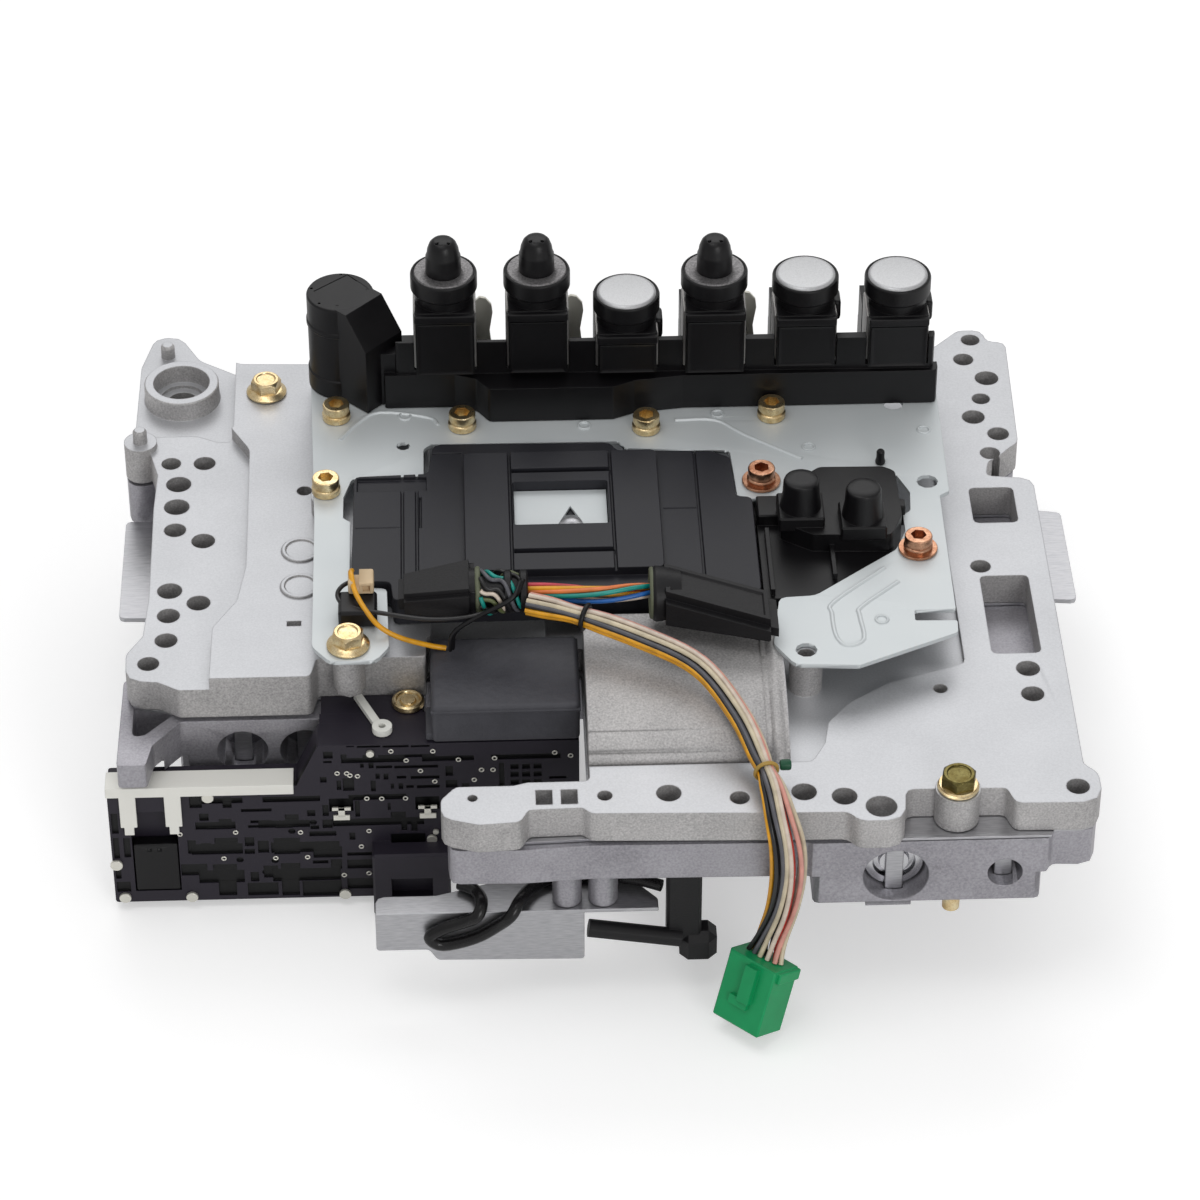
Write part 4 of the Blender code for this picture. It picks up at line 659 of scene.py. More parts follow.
# Each wire: colour, its angle round the bundle and how far out it lies, how far it bows out on
# the way down, and its place across and behind the middle of the plug
STRANDS = (
    ("yellow", 352, 3.4, 1.4, -6.4, 1.5), ("black", 15, 3.0, 1.2, -6.6, -1.0),
    ("grey", 38, 3.1, 0.6, -3.8, -1.4), ("cream", 64, 3.2, 0.6, -1.0, -1.8),
    ("white", 94, 3.2, 1.0, 2.0, -1.6), ("pink", 122, 3.2, 2.6, 5.0, -1.0),
    ("cream", 150, 3.0, 3.5, 6.5, 0.6), ("black", 22, 1.2, 0.4, -4.8, 0.4),
    ("red", 120, 1.4, 1.6, 3.8, 0.6), ("white", 182, 3.0, 3.2, 5.4, 1.6),
    ("yellow", 326, 3.3, 0.9, -5.2, 1.8), ("blue", 250, 2.6, 0.4, -2.6, 1.4),
    ("grey", 215, 2.8, 0.6, 0.6, 1.8), ("black", 285, 2.7, 0.2, -0.8, 0.6),
)
centre_line = smooth_points(HARNESS_ROUTE, 6)
frames = travel(centre_line)
strands = []
for index, (colour, angle, out, bow, across_plug, behind) in enumerate(STRANDS):
    points = []
    for i, (centre, (side, across)) in enumerate(zip(centre_line, frames)):
        t = i / (len(centre_line) - 1)
        squeeze = sum(math.exp(-((t - at) / 0.03) ** 2) for at in (FIRST_TIE, SECOND_TIE))
        hang = max(0.0, (t - SECOND_TIE) / (1 - SECOND_TIE))
        turn = math.radians(angle) + 0.16 * math.sin(6 * t + 1.7 * index)
        r = out * (1 - 0.25 * squeeze) + bow * math.sin(math.pi * hang) ** 1.3
        bundled = side * r * math.sin(turn) + across * r * math.cos(turn)
        seated = PLUG_ACROSS * across_plug + PLUG_BACK * behind
        blend = min(1.0, max(0.0, (t - 0.66) / 0.34)) ** 2
        points.append(centre + bundled.lerp(seated, blend))
    strands.append(tube(f"strand_{index}", points, 1.75, WIRES[colour], sides=2))
harness = join("harness_wires", strands)
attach(harness, ROOT)
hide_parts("harness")
harness_length = sum((b - a).length for a, b in zip(centre_line, centre_line[1:])) * MM
print("harness", round(harness_length, 3), "m")

# %% Green plug
plug = from_solid("green_connector", "green_plug")
soften(plug, 0.3)
seat(plug, green, "green_connector")
centre_line[0] * MM
[p * MM for p in centre_line]

# %% Wires from boot to boot
BRANCH_ROUTE = (
    (-27.0, -27.0, 66.6), (-14.0, -29.6, 67.4), (-1.0, -31.0, 67.8), (10.0, -29.8, 67.0),
    (18.6, -28.0, 65.8),
)
BRANCH = (("rose", 120, 2.0), ("yellow", 60, 1.9), ("orange", 20, 2.0), ("teal", 330, 2.2),
          ("blue", 270, 2.0), ("white", 210, 1.9), ("yellow", 165, 1.0))
line = smooth_points(BRANCH_ROUTE, 8)
branch = []
for index, (colour, angle, out) in enumerate(BRANCH):
    points = []
    for i, (centre, (side, across)) in enumerate(zip(line, travel(line))):
        t = i / (len(line) - 1)
        turn = math.radians(angle + 130 * t)
        r = out * (1 + 0.55 * math.sin(math.pi * t)) * (0.8 + 0.2 * math.cos(4 * t + index))
        points.append(centre + side * r * math.sin(turn) + across * r * math.cos(turn))
    branch.append(tube(f"branch_{index}", points, 1.7, WIRES[colour], sides=2))
branch = join("branch_bundle", branch)
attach(branch, ROOT)
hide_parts("branch_wires")

# %% Cable ties
def tie(name, index, radius, wire, finish):
    """A band round the bundle at one point of its route."""
    ahead = (centre_line[index + 1] - centre_line[index - 1]).normalized()
    band = torus(name, centre_line[index], radius, wire, 32, 10,
                 ahead.to_track_quat("Z", "Y").to_euler())
    bpy.ops.object.shade_smooth()
    return seat(band, finish)


amber = plastic("amber nylon", rgb(150, 122, 60), 0.3)
tie("first_tie", 7, 4.4, 0.9, nylon)
tie("second_tie", 32, 3.9, 0.7, amber)
knob = cylinder("tie_head", (57.0, -100.6, 47.6), 3.8, 4.0, axis="X", vertices=20)
soften(knob, 0.8)
seat(knob, plastic("dark green nylon", rgb(22, 70, 48), 0.35))

# %% [markdown]
# ## Castings
# The stack of two castings is what the photograph shows most of. Their solids are kept, and only
# what is round is made again: each drilled hole and turned seat is cut with a finer cylinder of
# the same diameter, and each post gets a finer cylinder round it. The hump gets its round front,
# and a bead along its right end.

# %% Upper casting
# Each hole: where it is, and its diameter
HOLES = (
    (-155.3, 84.8, 7.2), (-143.0, 84.6, 8.0), (-152.1, 72.1, 9.2), (-152.3, 58.5, 9.3),
    (-152.4, 44.7, 8.0), (-142.0, 38.0, 8.5), (-153.0, 9.4, 8.9), (-142.5, 2.2, 8.4),
    (-152.9, -4.7, 8.1), (-153.2, -18.5, 8.0), (-158.9, -31.2, 7.6), (147.3, 152.7, 7.1),
    (143.4, 140.1, 7.6), (151.0, 127.7, 8.9), (147.5, 114.6, 6.8), (143.5, 103.2, 8.5),
    (151.7, 92.4, 8.0), (147.4, 80.5, 7.4), (137.0, 13.2, 7.3), (147.7, -44.7, 8.3),
    (147.8, -58.5, 8.0), (116.1, -54.5, 5.0), (157.7, -107.6, 7.9), (19.4, -106.1, 8.5),
    (43.2, -109.3, 6.7), (-2.2, -106.6, 5.1), (65.0, -107.1, 8.6), (78.5, -109.8, 8.6),
    (90.5, -115.4, 10.6), (-46.8, -106.4, 3.4), (-105.6, 60.0, 5.5),
)
POSTS = (
    (-93.9, 92.0), (-47.6, 85.0), (19.9, 81.2), (66.4, 87.5), (-97.2, 47.2), (60.1, 47.5),
    (113.2, 5.9), (-88.6, -41.0), (69.6, -48.8),
)
PORT = (-152.7, 126.7)
casting = from_solid("upper_casting", "upper_casting_body")
proud = [cylinder("post", (x, y, 38), 11.2, 15.1) for x, y in POSTS[:8]]
proud.append(cylinder("post", (*POSTS[8], 38), 11.6, 15.1))
proud.append(lathe("port ring", [(14.4, 39), (14.1, 41), (14.0, 47.2), (13.6, 47.7), (9, 47.7)],
                   (*PORT, 0)))
proud.append(cylinder("boss", (117, -108.1, 28.8), 15.3, 13.2, vertices=48))
proud.append(cylinder("lug", (-167, 95.5, 28.8), 12.2, 14.7))
proud.append(lathe("stud", [(2.6, 38), (2.6, 44.6), (1.9, 45.6)], (-159.1, 154.4, 0)))
proud.append(lathe("stud", [(2.6, 42), (2.6, 48.1), (1.9, 49.1)], (-167, 95.5, 0)))


def hump_section(grow, steps=28):
    """The round front of the hump, from its crest down to its foot, in Y and Z."""
    section = []
    for i in range(steps + 1):
        angle = math.pi / 2 * i / steps
        section.append((-47.0 - (43.0 + grow) * math.sin(angle),
                        38.0 + (14.6 + grow) * math.cos(angle) ** 0.8))
    return section


for name, grow, x0, x1 in (("hump", 0.15, -7.0, 61.0), ("rib", 0.7, 53.9, 61.6)):
    outline = [(-24.0, 36.0), (-24.0, 52.6 + grow), *hump_section(grow), (-90.0 - grow, 36.0)]
    ridge = plate(name, outline, x1 - x0)
    spin(ridge, -math.pi / 2)
    ridge.location.x += (x0 + x1) / 2 * MM
    combine(casting, [ridge], "UNION")
bead = smooth_points([(57.8, y, z - 1.6) for y, z in hump_section(0)[:26]], 1)
bead = tube("bead", [Vector((57.8, -26.0, 51.0)), *bead], 6.4, milled, sides=6)
combine(casting, [bead], "UNION")
rings = [
    lathe("panel ring", [(7.2, 45), (7.0, 46.6), (6.6, 46.9), (5.6, 46.9), (5.2, 46.3),
                         (0.1, 46.2)], (-106.4, y, 0)) for y in (24.6, 3.9)
]
combine(casting, [join("proud", proud)], "UNION")
combine(casting, rings, "UNION")
bores = [cylinder("hole", (x, y, 20), d, 40, vertices=32) for x, y, d in HOLES]
bores += [cylinder("screw hole", (x, y, 41.5), 6.6, 30, vertices=24) for x, y in POSTS[:8]]
bores.append(cylinder("open hole", (*POSTS[8], 39.5), 6.0, 30, vertices=32))
bores.append(lathe("port bore", [(5.5, 20), (5.5, 39), (8.2, 39), (8.2, 40.4), (10.3, 40.4),
                                 (10.3, 46.6), (11.2, 50)], (*PORT, 0)))
bores.append(block("pit", (-110.6, -18.2, 43.5), (-105.6, -15.4, 50)))
combine(casting, [join("bores", bores)])
keep_level(casting)
soften(casting)
seat(casting, milled, "upper_casting")
print("upper casting", len(casting.data.polygons), "faces")

# %% Lower casting
under = from_solid("lower_casting", "lower_casting_body")
bores = [
    cylinder("main bore", (96.3, -121, 11.6), 21.5, 65, axis="Y", vertices=48),
    lathe("main bore mouth", [(12.6, -3), (10.75, 1.4), (10.75, 4)], (96.3, -118, 11.6), axis="Y"),
    cylinder("pilot bore", (133.5, -121, 12), 12.0, 49, axis="Y"),
    cylinder("shift bore", (-126.9, -50, 13), 18.0, 45, axis="Y"),
    cylinder("shift bore", (-104.9, -50, 13), 18.0, 45, axis="Y"),
]
combine(under, bores)
posts = [cylinder("sensor post", (x, -107, -4.7), 10.2, 18, vertices=32) for x in (-15.2, -2.8)]
combine(under, posts, "UNION")
soften(merge_flat(under))
seat(under, casting_side, "lower_casting")
print("lower casting", len(under.data.polygons), "faces")

# %% [markdown]
# ## Valves and their plugs
# Each valve is a steel spool turned with lands and grooves, so each is extruded up its own profile
# on forty sides. Every spool rides on the body that slides in its bore.


# %% Spools
def spool(node, body, lands, groove):
    """Lands of equal length from end to end of the solid, along Y."""
    low, high = extent(node)
    radius = (high.x - low.x) / 2
    land = (high.y - low.y) / (2 * lands - 1)
    profile = []
    for i in range(lands):
        start = 2 * i * land
        profile += [(radius - 0.3, start), (radius, start + 0.3)]
        profile += [(radius, start + land - 0.3), (radius - 0.3, start + land)]
        if i < lands - 1:
            profile += [(groove * radius, start + land), (groove * radius, start + 2 * land)]
    centre = ((low.x + high.x) / 2, low.y, (low.z + high.z) / 2)
    return seat(lathe(f"{node}_spool", profile, centre, axis="Y"), ground, node, body=body)


spool("regulator_valve", "regulator_spool", 3, 0.62)
spool("pilot_valve", "pilot_spool", 3, 0.62)
spool("shift_valve_1", "shift_spool_1", 2, 0.62)
spool("shift_valve_2", "shift_spool_2", 2, 0.62)
manual = lathe("manual_valve_spool", [
    (6.2, 0), (6.5, 0.3), (6.5, 5), (3.6, 5), (3.6, 12), (6.5, 12), (6.5, 30), (3.9, 30),
    (3.9, 48), (6.5, 48), (6.5, 58), (3.9, 58), (3.9, 78), (6.5, 78), (6.5, 91.7), (6.2, 92),
], (-158, 21.5, 13.5), axis="X")
seat(manual, ground, "manual_valve", body="manual_spool")
low, high = extent("regulator_plug")
stop = lathe("regulator_stop", [
    (4.6, 0), (4.9, 0), (5.4, 1.6), (6.9, 1.6), (7.4, 0), (9.9, 0), (10.3, 0.4), (10.3, 6.6),
    (9.9, 7),
], ((low.x + high.x) / 2, low.y, (low.z + high.z) / 2), axis="Y", vertices=48)
combine(stop, [cylinder("dimple", (96.3, low.y - 2, 11.6), 4.0, 4, axis="Y")])
seat(stop, ground, "regulator_plug")
for node in ("regulator_retainer", "pilot_retainer", "shift_retainer_1", "shift_retainer_2"):
    dress(node, f"{node}_plate", 0.3, steel)

# %% [markdown]
# ## Fasteners
# The bracket is held by seven socket screws. Each head has a collar below a narrow groove. One is
# modelled at the origin and the others are copies of it, set down where the solids are.


# %% Socket screws
def top_centre(node):
    low, high = extent(node)
    return Vector(((low.x + high.x) / 2, (low.y + high.y) / 2, high.z))


screw = lathe("screw", [
    (3.0, -18.8), (3.0, -6.5), (5.1, -6.5), (5.2, -6.2), (5.2, -4.4), (4.9, -4.0), (4.5, -3.8),
    (4.5, -3.2), (4.9, -3.0), (4.95, -0.7), (4.7, -0.2), (4.3, 0.0),
], vertices=48)
combine(screw, [cylinder("key", (0, 0, -3.4), 5.8, 6, vertices=6)])
soften(screw)
copper = passivated("coppery passivated", rgb(214, 168, 138), rgb(166, 112, 84), rgb(96, 60, 44))
washer = lathe("washer", [(3.1, -6.5), (6.9, -6.5), (7.0, -6.2), (7.0, -5.7), (6.8, -5.5),
                          (5.2, -5.5)], vertices=40)
for i in range(1, 8):
    node = f"socket_screw_{i}"
    piece = copied(screw, f"{node}_steel", top_centre(node))
    spin(piece, 0.7 * i, top_centre(node))
    if i in (6, 7):
        piece = join(f"{node}_steel", [piece, copied(washer, "washer", top_centre(node))])
    seat(piece, copper if i in (6, 7) else gold, node)
bpy.data.objects.remove(screw)
bpy.data.objects.remove(washer)
print("7 socket screws")


# %% Hexagon bolts
def hexagon_bolt(name, across, flange, shank, twist):
    """A hexagon head with a turned chamfer and a dished top, over a round flange."""
    head = cylinder(name, (0, 0, -5.4), across, 5.4, vertices=6)
    spin(head, math.radians(twist))
    bpy.ops.object.transform_apply(rotation=True)
    r = across / 2
    chamfer = lathe("chamfer", [(r + 0.2, -6), (r + 0.2, -1.3), (r - 1.2, 0)], vertices=48)
    combine(head, [chamfer], "INTERSECT")
    dish = lathe("dish", [(r - 2.5, -0.6), (r - 2.2, -0.4), (r - 2.0, 0.5)], vertices=32)
    combine(head, [dish])
    base = lathe("flange", [
        (3.0, shank), (3.0, -6.4), (flange / 2 - 0.2, -6.4), (flange / 2, -6.1),
        (flange / 2, -5.6), (flange / 2 - 0.6, -5.2), (r + 0.2, -4.4), (r - 0.9, -4.2),
    ], vertices=48)
    return head, base


for node, twist in (("flange_bolt_front", 8), ("flange_bolt_rear", 20)):
    low, high = extent(node)
    head, base = hexagon_bolt(node, 11.5, 15.0, low.z - high.z, twist)
    bolt = combine(head, [base], "UNION")
    bolt.location = top_centre(node) * MM
    soften(bolt, 0.15)
    seat(bolt, gold, node)
low, high = extent("hex_bolt")
head, base = hexagon_bolt("hex_bolt", 12.6, 14.2, low.z - high.z, 12)
head.location = base.location = top_centre("hex_bolt") * MM
seat(soften(head, 0.15), olive, "hex_bolt").name = "boss_bolt_head"
seat(base, gold, "hex_bolt").name = "boss_bolt_flange"
brass = lathe("ear_bolt", [
    (2.0, -11.5), (2.0, -3.4), (5.6, -3.4), (5.8, -2.8), (5.5, -1.6), (4.8, -1.1), (4.3, -1.2),
    (3.9, -1.9), (3.0, -2.0), (2.6, -1.2), (0.8, -1.0),
], top_centre("brass_bolt"))
seat(brass, gold, "brass_bolt")

# %% [markdown]
# ## Bracket
# The bracket is pressed from sheet, and its pressed creases catch the light. Each crease is a thin
# rod, half sunk into the sheet and joined to it. The small rings are the marks of pins that hold
# the sheet to the housing.

# %% Mounting bracket
bracket = from_solid("mounting_bracket", "zinc_bracket")
BRACKET_TOP = 55.0
CREASES = (
    ((-92.5, 78.5), (-86, 88.5), (-77.9, 95), (-60.2, 91.2), (-56.5, 86.4)),
    ((30.8, 86.3), (45.5, 85.8), (56.0, 76.2), (75.9, 60.8)),
    ((104.7, -12.1), (90.6, -25.8), (89.5, -30.6), (90.0, -43.6), (84.1, -47.1), (80.5, -42.0),
     (79.9, -29.3), (81.1, -22.8), (100.5, -4.1)),
)
creases = [
    tube(f"crease_{i}", smooth_points([(x, y, BRACKET_TOP - 0.35) for x, y in route], 4), 1.9, zinc)
    for i, route in enumerate(CREASES)
]
MARKS = ((121.8, 76.9), (78.8, 68.0), (97.1, -33.1), (-2.8, 84.0), (46.6, 89.6), (-68.7, 92.0))
creases += [torus("mark", (x, y, BRACKET_TOP + 0.05), 2.1, 0.5, 28, 8) for x, y in MARKS]
combine(bracket, creases, "UNION")
soften(bracket)
seat(bracket, zinc, "mounting_bracket")
pin = lathe("bracket_pin", [(1.7, 55.2), (1.9, 56.0), (1.5, 57.6), (1.5, 60.2), (1.1, 60.8)],
            (104.1, 57.3, 0), vertices=24)
seat(pin, nylon)
print("bracket", len(bracket.data.polygons), "faces")

# %% [markdown]
# ## Solenoids
# Six coils stand in a moulded housing. Each is a square coil box with a round cup on top. In three
# of them a nub passes through a steel ring, and a pressed steel disc closes the others. One coil
# of each height is modelled at the origin and copied.


# %% Coils
def coil(kind, depth):
    """A coil whose ring or disc lies at height 0 and whose box reaches down to depth."""
    body = block("coil", (-10.7, -11.2, depth), (10.7, 10.8, -11.2))
    front = block("front", (-10.1, -12.6, depth + 1), (10.1, -9, -15.4))
    edit_faces(front, lambda face: face.normal.y < -0.9)
    bpy.ops.mesh.inset(thickness=1.5 * MM)
    bpy.ops.transform.translate(value=(0, 0.6 * MM, 0))
    bpy.ops.object.mode_set(mode="OBJECT")
    lintel = block("lintel", (-11.0, -13.0, -15.0), (11.0, -8, -11.6))
    cup = [(10.9, -14.7), (10.9, -7.9), (11.9, -7.1), (12.2, -6.6), (12.2, -1.2), (11.9, -0.5),
           (11.4, -0.3), (11.1, -0.5), (11.05, -2.7)]
    if kind == "nub":
        cup += [(6.6, -2.7), (6.4, 6.6), (6.0, 7.4), (5.7, 9.6), (4.9, 11.8), (3.9, 12.9),
                (2.8, 13.3), (0.8, 13.4)]
    combine(body, [front, soften(lintel, 0.6), lathe("cup", cup, vertices=48)], "UNION")
    if kind == "nub":
        for x in (-2.1, 2.1):
            combine(body, [cylinder("dimple", (x, -2.2, 11.4), 1.3, 5, vertices=12)])
    else:
        ear = block("ear", (10.0, -1.0, -21.0), (13.4, 8.0, -12.4))
        combine(body, [soften(ear, 1.4, 3)], "UNION")
    return soften(body, 0.25, 1)


SOLENOIDS = {1: "nub", 2: "nub", 3: "disc", 4: "nub", 5: "disc", 6: "disc"}
satin = Finish("pressed satin steel", rgb(200, 200, 203), 0.36, metallic=0.6).rounded(0.2)
grit = satin.noise(0.45, detail=2.0)
satin.set(**{"Base Color": satin.mix(grit, rgb(168, 168, 170), rgb(206, 207, 208)),
             "Roughness": 0.3 + 0.2 * grit})
satin.relief(grit, 0.03)
etched = Finish("etched steel", rgb(140, 138, 138), 0.4, metallic=0.6)
grit = etched.noise(0.7, detail=3.0)
etched.set(**{"Base Color": etched.mix(grit * 1.6 - 0.4, rgb(92, 90, 92), rgb(160, 158, 158))})
etched.relief(grit, 0.06)
yoke_steel = Finish("yoke steel", rgb(150, 148, 146), 0.4, metallic=0.7).rounded(0.3)
yoke_steel.relief(yoke_steel.noise(0.8), 0.03)
models = {}
for i, kind in SOLENOIDS.items():
    crown = f"solenoid_ring_{i}" if kind == "nub" else f"solenoid_disc_{i}"
    place = top_centre(crown) - Vector((0, 0, 0.4 if kind == "disc" else 0))
    depth = round(extent(f"solenoid_{i}")[0].z - place.z, 2)
    if (kind, depth) not in models:
        models[kind, depth] = coil(kind, depth)
    body = copied(models[kind, depth], f"solenoid_{i}_coil", place)
    seat(body, nylon, f"solenoid_{i}")
    if kind == "nub":
        top = lathe(f"{crown}_steel", [(6.7, -2.4), (11.0, -2.4), (11.0, -0.6), (10.6, -0.1),
                                       (7.3, -0.1), (6.9, -0.3)], place, vertices=48)
    else:
        top = lathe(f"{crown}_steel", [(11.0, -2.4), (11.0, -0.6), (10.6, 0.0), (9.9, 0.35),
                                       (9.4, 0.4), (0.5, 0.4)], place, vertices=48)
    seat(top, etched if kind == "nub" else satin, crown)
    yoke = block(f"yoke_{i}", (-11.5, -7.5, depth + 0.5), (11.5, 8.5, -13.6))
    soften(yoke, 0.5)
    yoke.location = place * MM
    seat(yoke, yoke_steel, f"solenoid_{i}")
for model in models.values():
    bpy.data.objects.remove(model)
print(len(models), "coil shapes for", len(SOLENOIDS), "solenoids")

# %% [markdown]
# The housing is cut back between the coils, down to where the real one ends there. A slanted arm
# joins it to the round connector, and a thin clip with three tabs stands behind the coils.

# %% Housing, clip and case connector
housing = from_solid("solenoid_housing", "coil_housing")
middles = [top_centre(f"solenoid_{i}").x for i in SOLENOIDS]
for left, right in zip(middles, [*middles[1:], 141.0]):
    combine(housing, [block("gap", (left + 11.4, 99.0, 61), (right - 11.4, 133, 90))])
combine(housing, [
    block("gap", (-90.0, 99.0, 78), (middles[0] - 11.4, 112.0, 97)),
    block("gap", (-90.0, 111.5, 62), (middles[0] - 11.4, 133, 97)),
])
centre = top_centre("case_connector")
arm = plate("arm", [(0, 55.5), (21.9, 55.5), (21.9, 82.5), (12.2, 94.9), (0, 94.9)], 19.0)
arm.location = (centre.x * MM, centre.y * MM, 0)
spin(arm, math.radians(44), centre)
combine(housing, [arm], "UNION")
soften(housing, 0.5)
seat(housing, nylon, "solenoid_housing")
clip_outline = [(-61, 57), (-61, 60)]
for i in (1, 2, 4):
    x = top_centre(f"solenoid_{i}").x + 14.6
    clip_outline += [(x - 3.4, 60), (x - 3.2, 72), (x - 3.4, 79.4), (x - 1.6, 81.2),
                     (x + 0.6, 80.6), (x + 2.8, 77.6), (x + 3.2, 74.0), (x + 2.0, 66.0),
                     (x + 2.6, 60)]
clip_outline += [(122, 60), (122, 57)]
clip = plate("coil_clip", clip_outline, 1.4, 0.3)
clip.location.y = 131 * MM
pale_zinc = Finish("pale zinc", rgb(226, 224, 212), 0.5, metallic=0.0)
pale_zinc.relief(pale_zinc.noise(2.0), 0.05)
seat(clip, pale_zinc, "solenoid_clip")
centre.z = 0
connector = lathe("case_connector_body", [
    (12.8, 55.3), (12.8, 62.5), (12.3, 63.0), (12.3, 82.0), (12.8, 82.6), (12.8, 84.0),
    (12.4, 84.5), (12.4, 94.2), (12.0, 94.8), (11.5, 95.0),
], centre, vertices=56)
seams = [
    block("seam", (-7.0, 6.3, 94.6), (9.2, 6.7, 96)),
    block("seam", (8.8, -4.9, 94.6), (9.2, 6.7, 96)),
]
for x, y in ((7.5, 8.4), (8.4, -5.8), (-6.6, -6.5), (-6.4, 8.6), (-10.4, -0.8)):
    seams.append(cylinder("dot", (x, y, 94.2), 1.1, 2, vertices=12))
for seam in seams:
    seam.location = seam.location + centre * MM
    spin(seam, math.radians(-40), centre)
combine(connector, seams)
soften(connector)
seat(connector, nylon, "case_connector")

# %% [markdown]
# ## Control unit
# The electronic unit is moulded nylon with a raised frame round a window. The solid already has
# its levels. Fine seams and steps are cut into it, because they tell the eye how large it is.

# %% Control unit and window
unit = from_solid("control_unit", "control_unit_case")
seams = [
    block("back recess", (-86.0, 44.0, 55.8), (-61.0, 52.0, 59)),
    block("thin slot", (-63.6, 22.0, 56.2), (-62.8, 40.0, 59)),
    block("cross seam", (-86.5, 22.3, 56.8), (-70.6, 22.8, 59)),
    block("rear seam", (-58.5, 65.4, 56.6), (-48.2, 66.2, 59)),
    block("right seam", (24.0, 30.0, 56.7), (35.6, 30.6, 59)),
]
combine(unit, seams)
soften(unit, 0.3, 1)
seat(unit, unit_plastic, "control_unit")
dress("unit_window_plate", "window_sheet", 0.1, zinc, segments=1)
hill = lathe("window_cone", [(5.6, 55.3), (3.6, 56.6), (1.6, 57.4), (0.6, 57.6)],
             (-9.4, 24.6, 0), vertices=32)
seat(hill, steel)

# %% Terminal block
terminals = from_solid("terminal_block", "terminal_block_case")
caps = [
    lathe("cap", [(7.4, 63.8), (7.2, 66.0), (6.6, 70.0), (6.4, 74.6), (6.0, 75.6), (5.2, 76.1),
                  (3.0, 76.4)], (x, y, 0), vertices=40)
    for x, y in ((72.3, 21.5), (94.0, 15.5))
]
combine(terminals, caps, "UNION")
nub = block("side nub", (107.5, 26.0, 50.0), (110.6, 31.0, 59.0))
combine(terminals, [soften(nub, 0.8)], "UNION")
soften(terminals, 0.3, 1)
seat(terminals, nylon, "terminal_block")

# %% [markdown]
# ## Position switch
# A board of black nylon stands in front of the castings. Its face is a maze of shallow pockets,
# with the ends of the contacts showing. The pockets are cut in one step by a set of small boxes
# that keep clear of each other, and the contacts are small steel clips.

# %% Switch board: the pockets in its face
FACE, POCKET_DEPTH = -64.0, 0.9
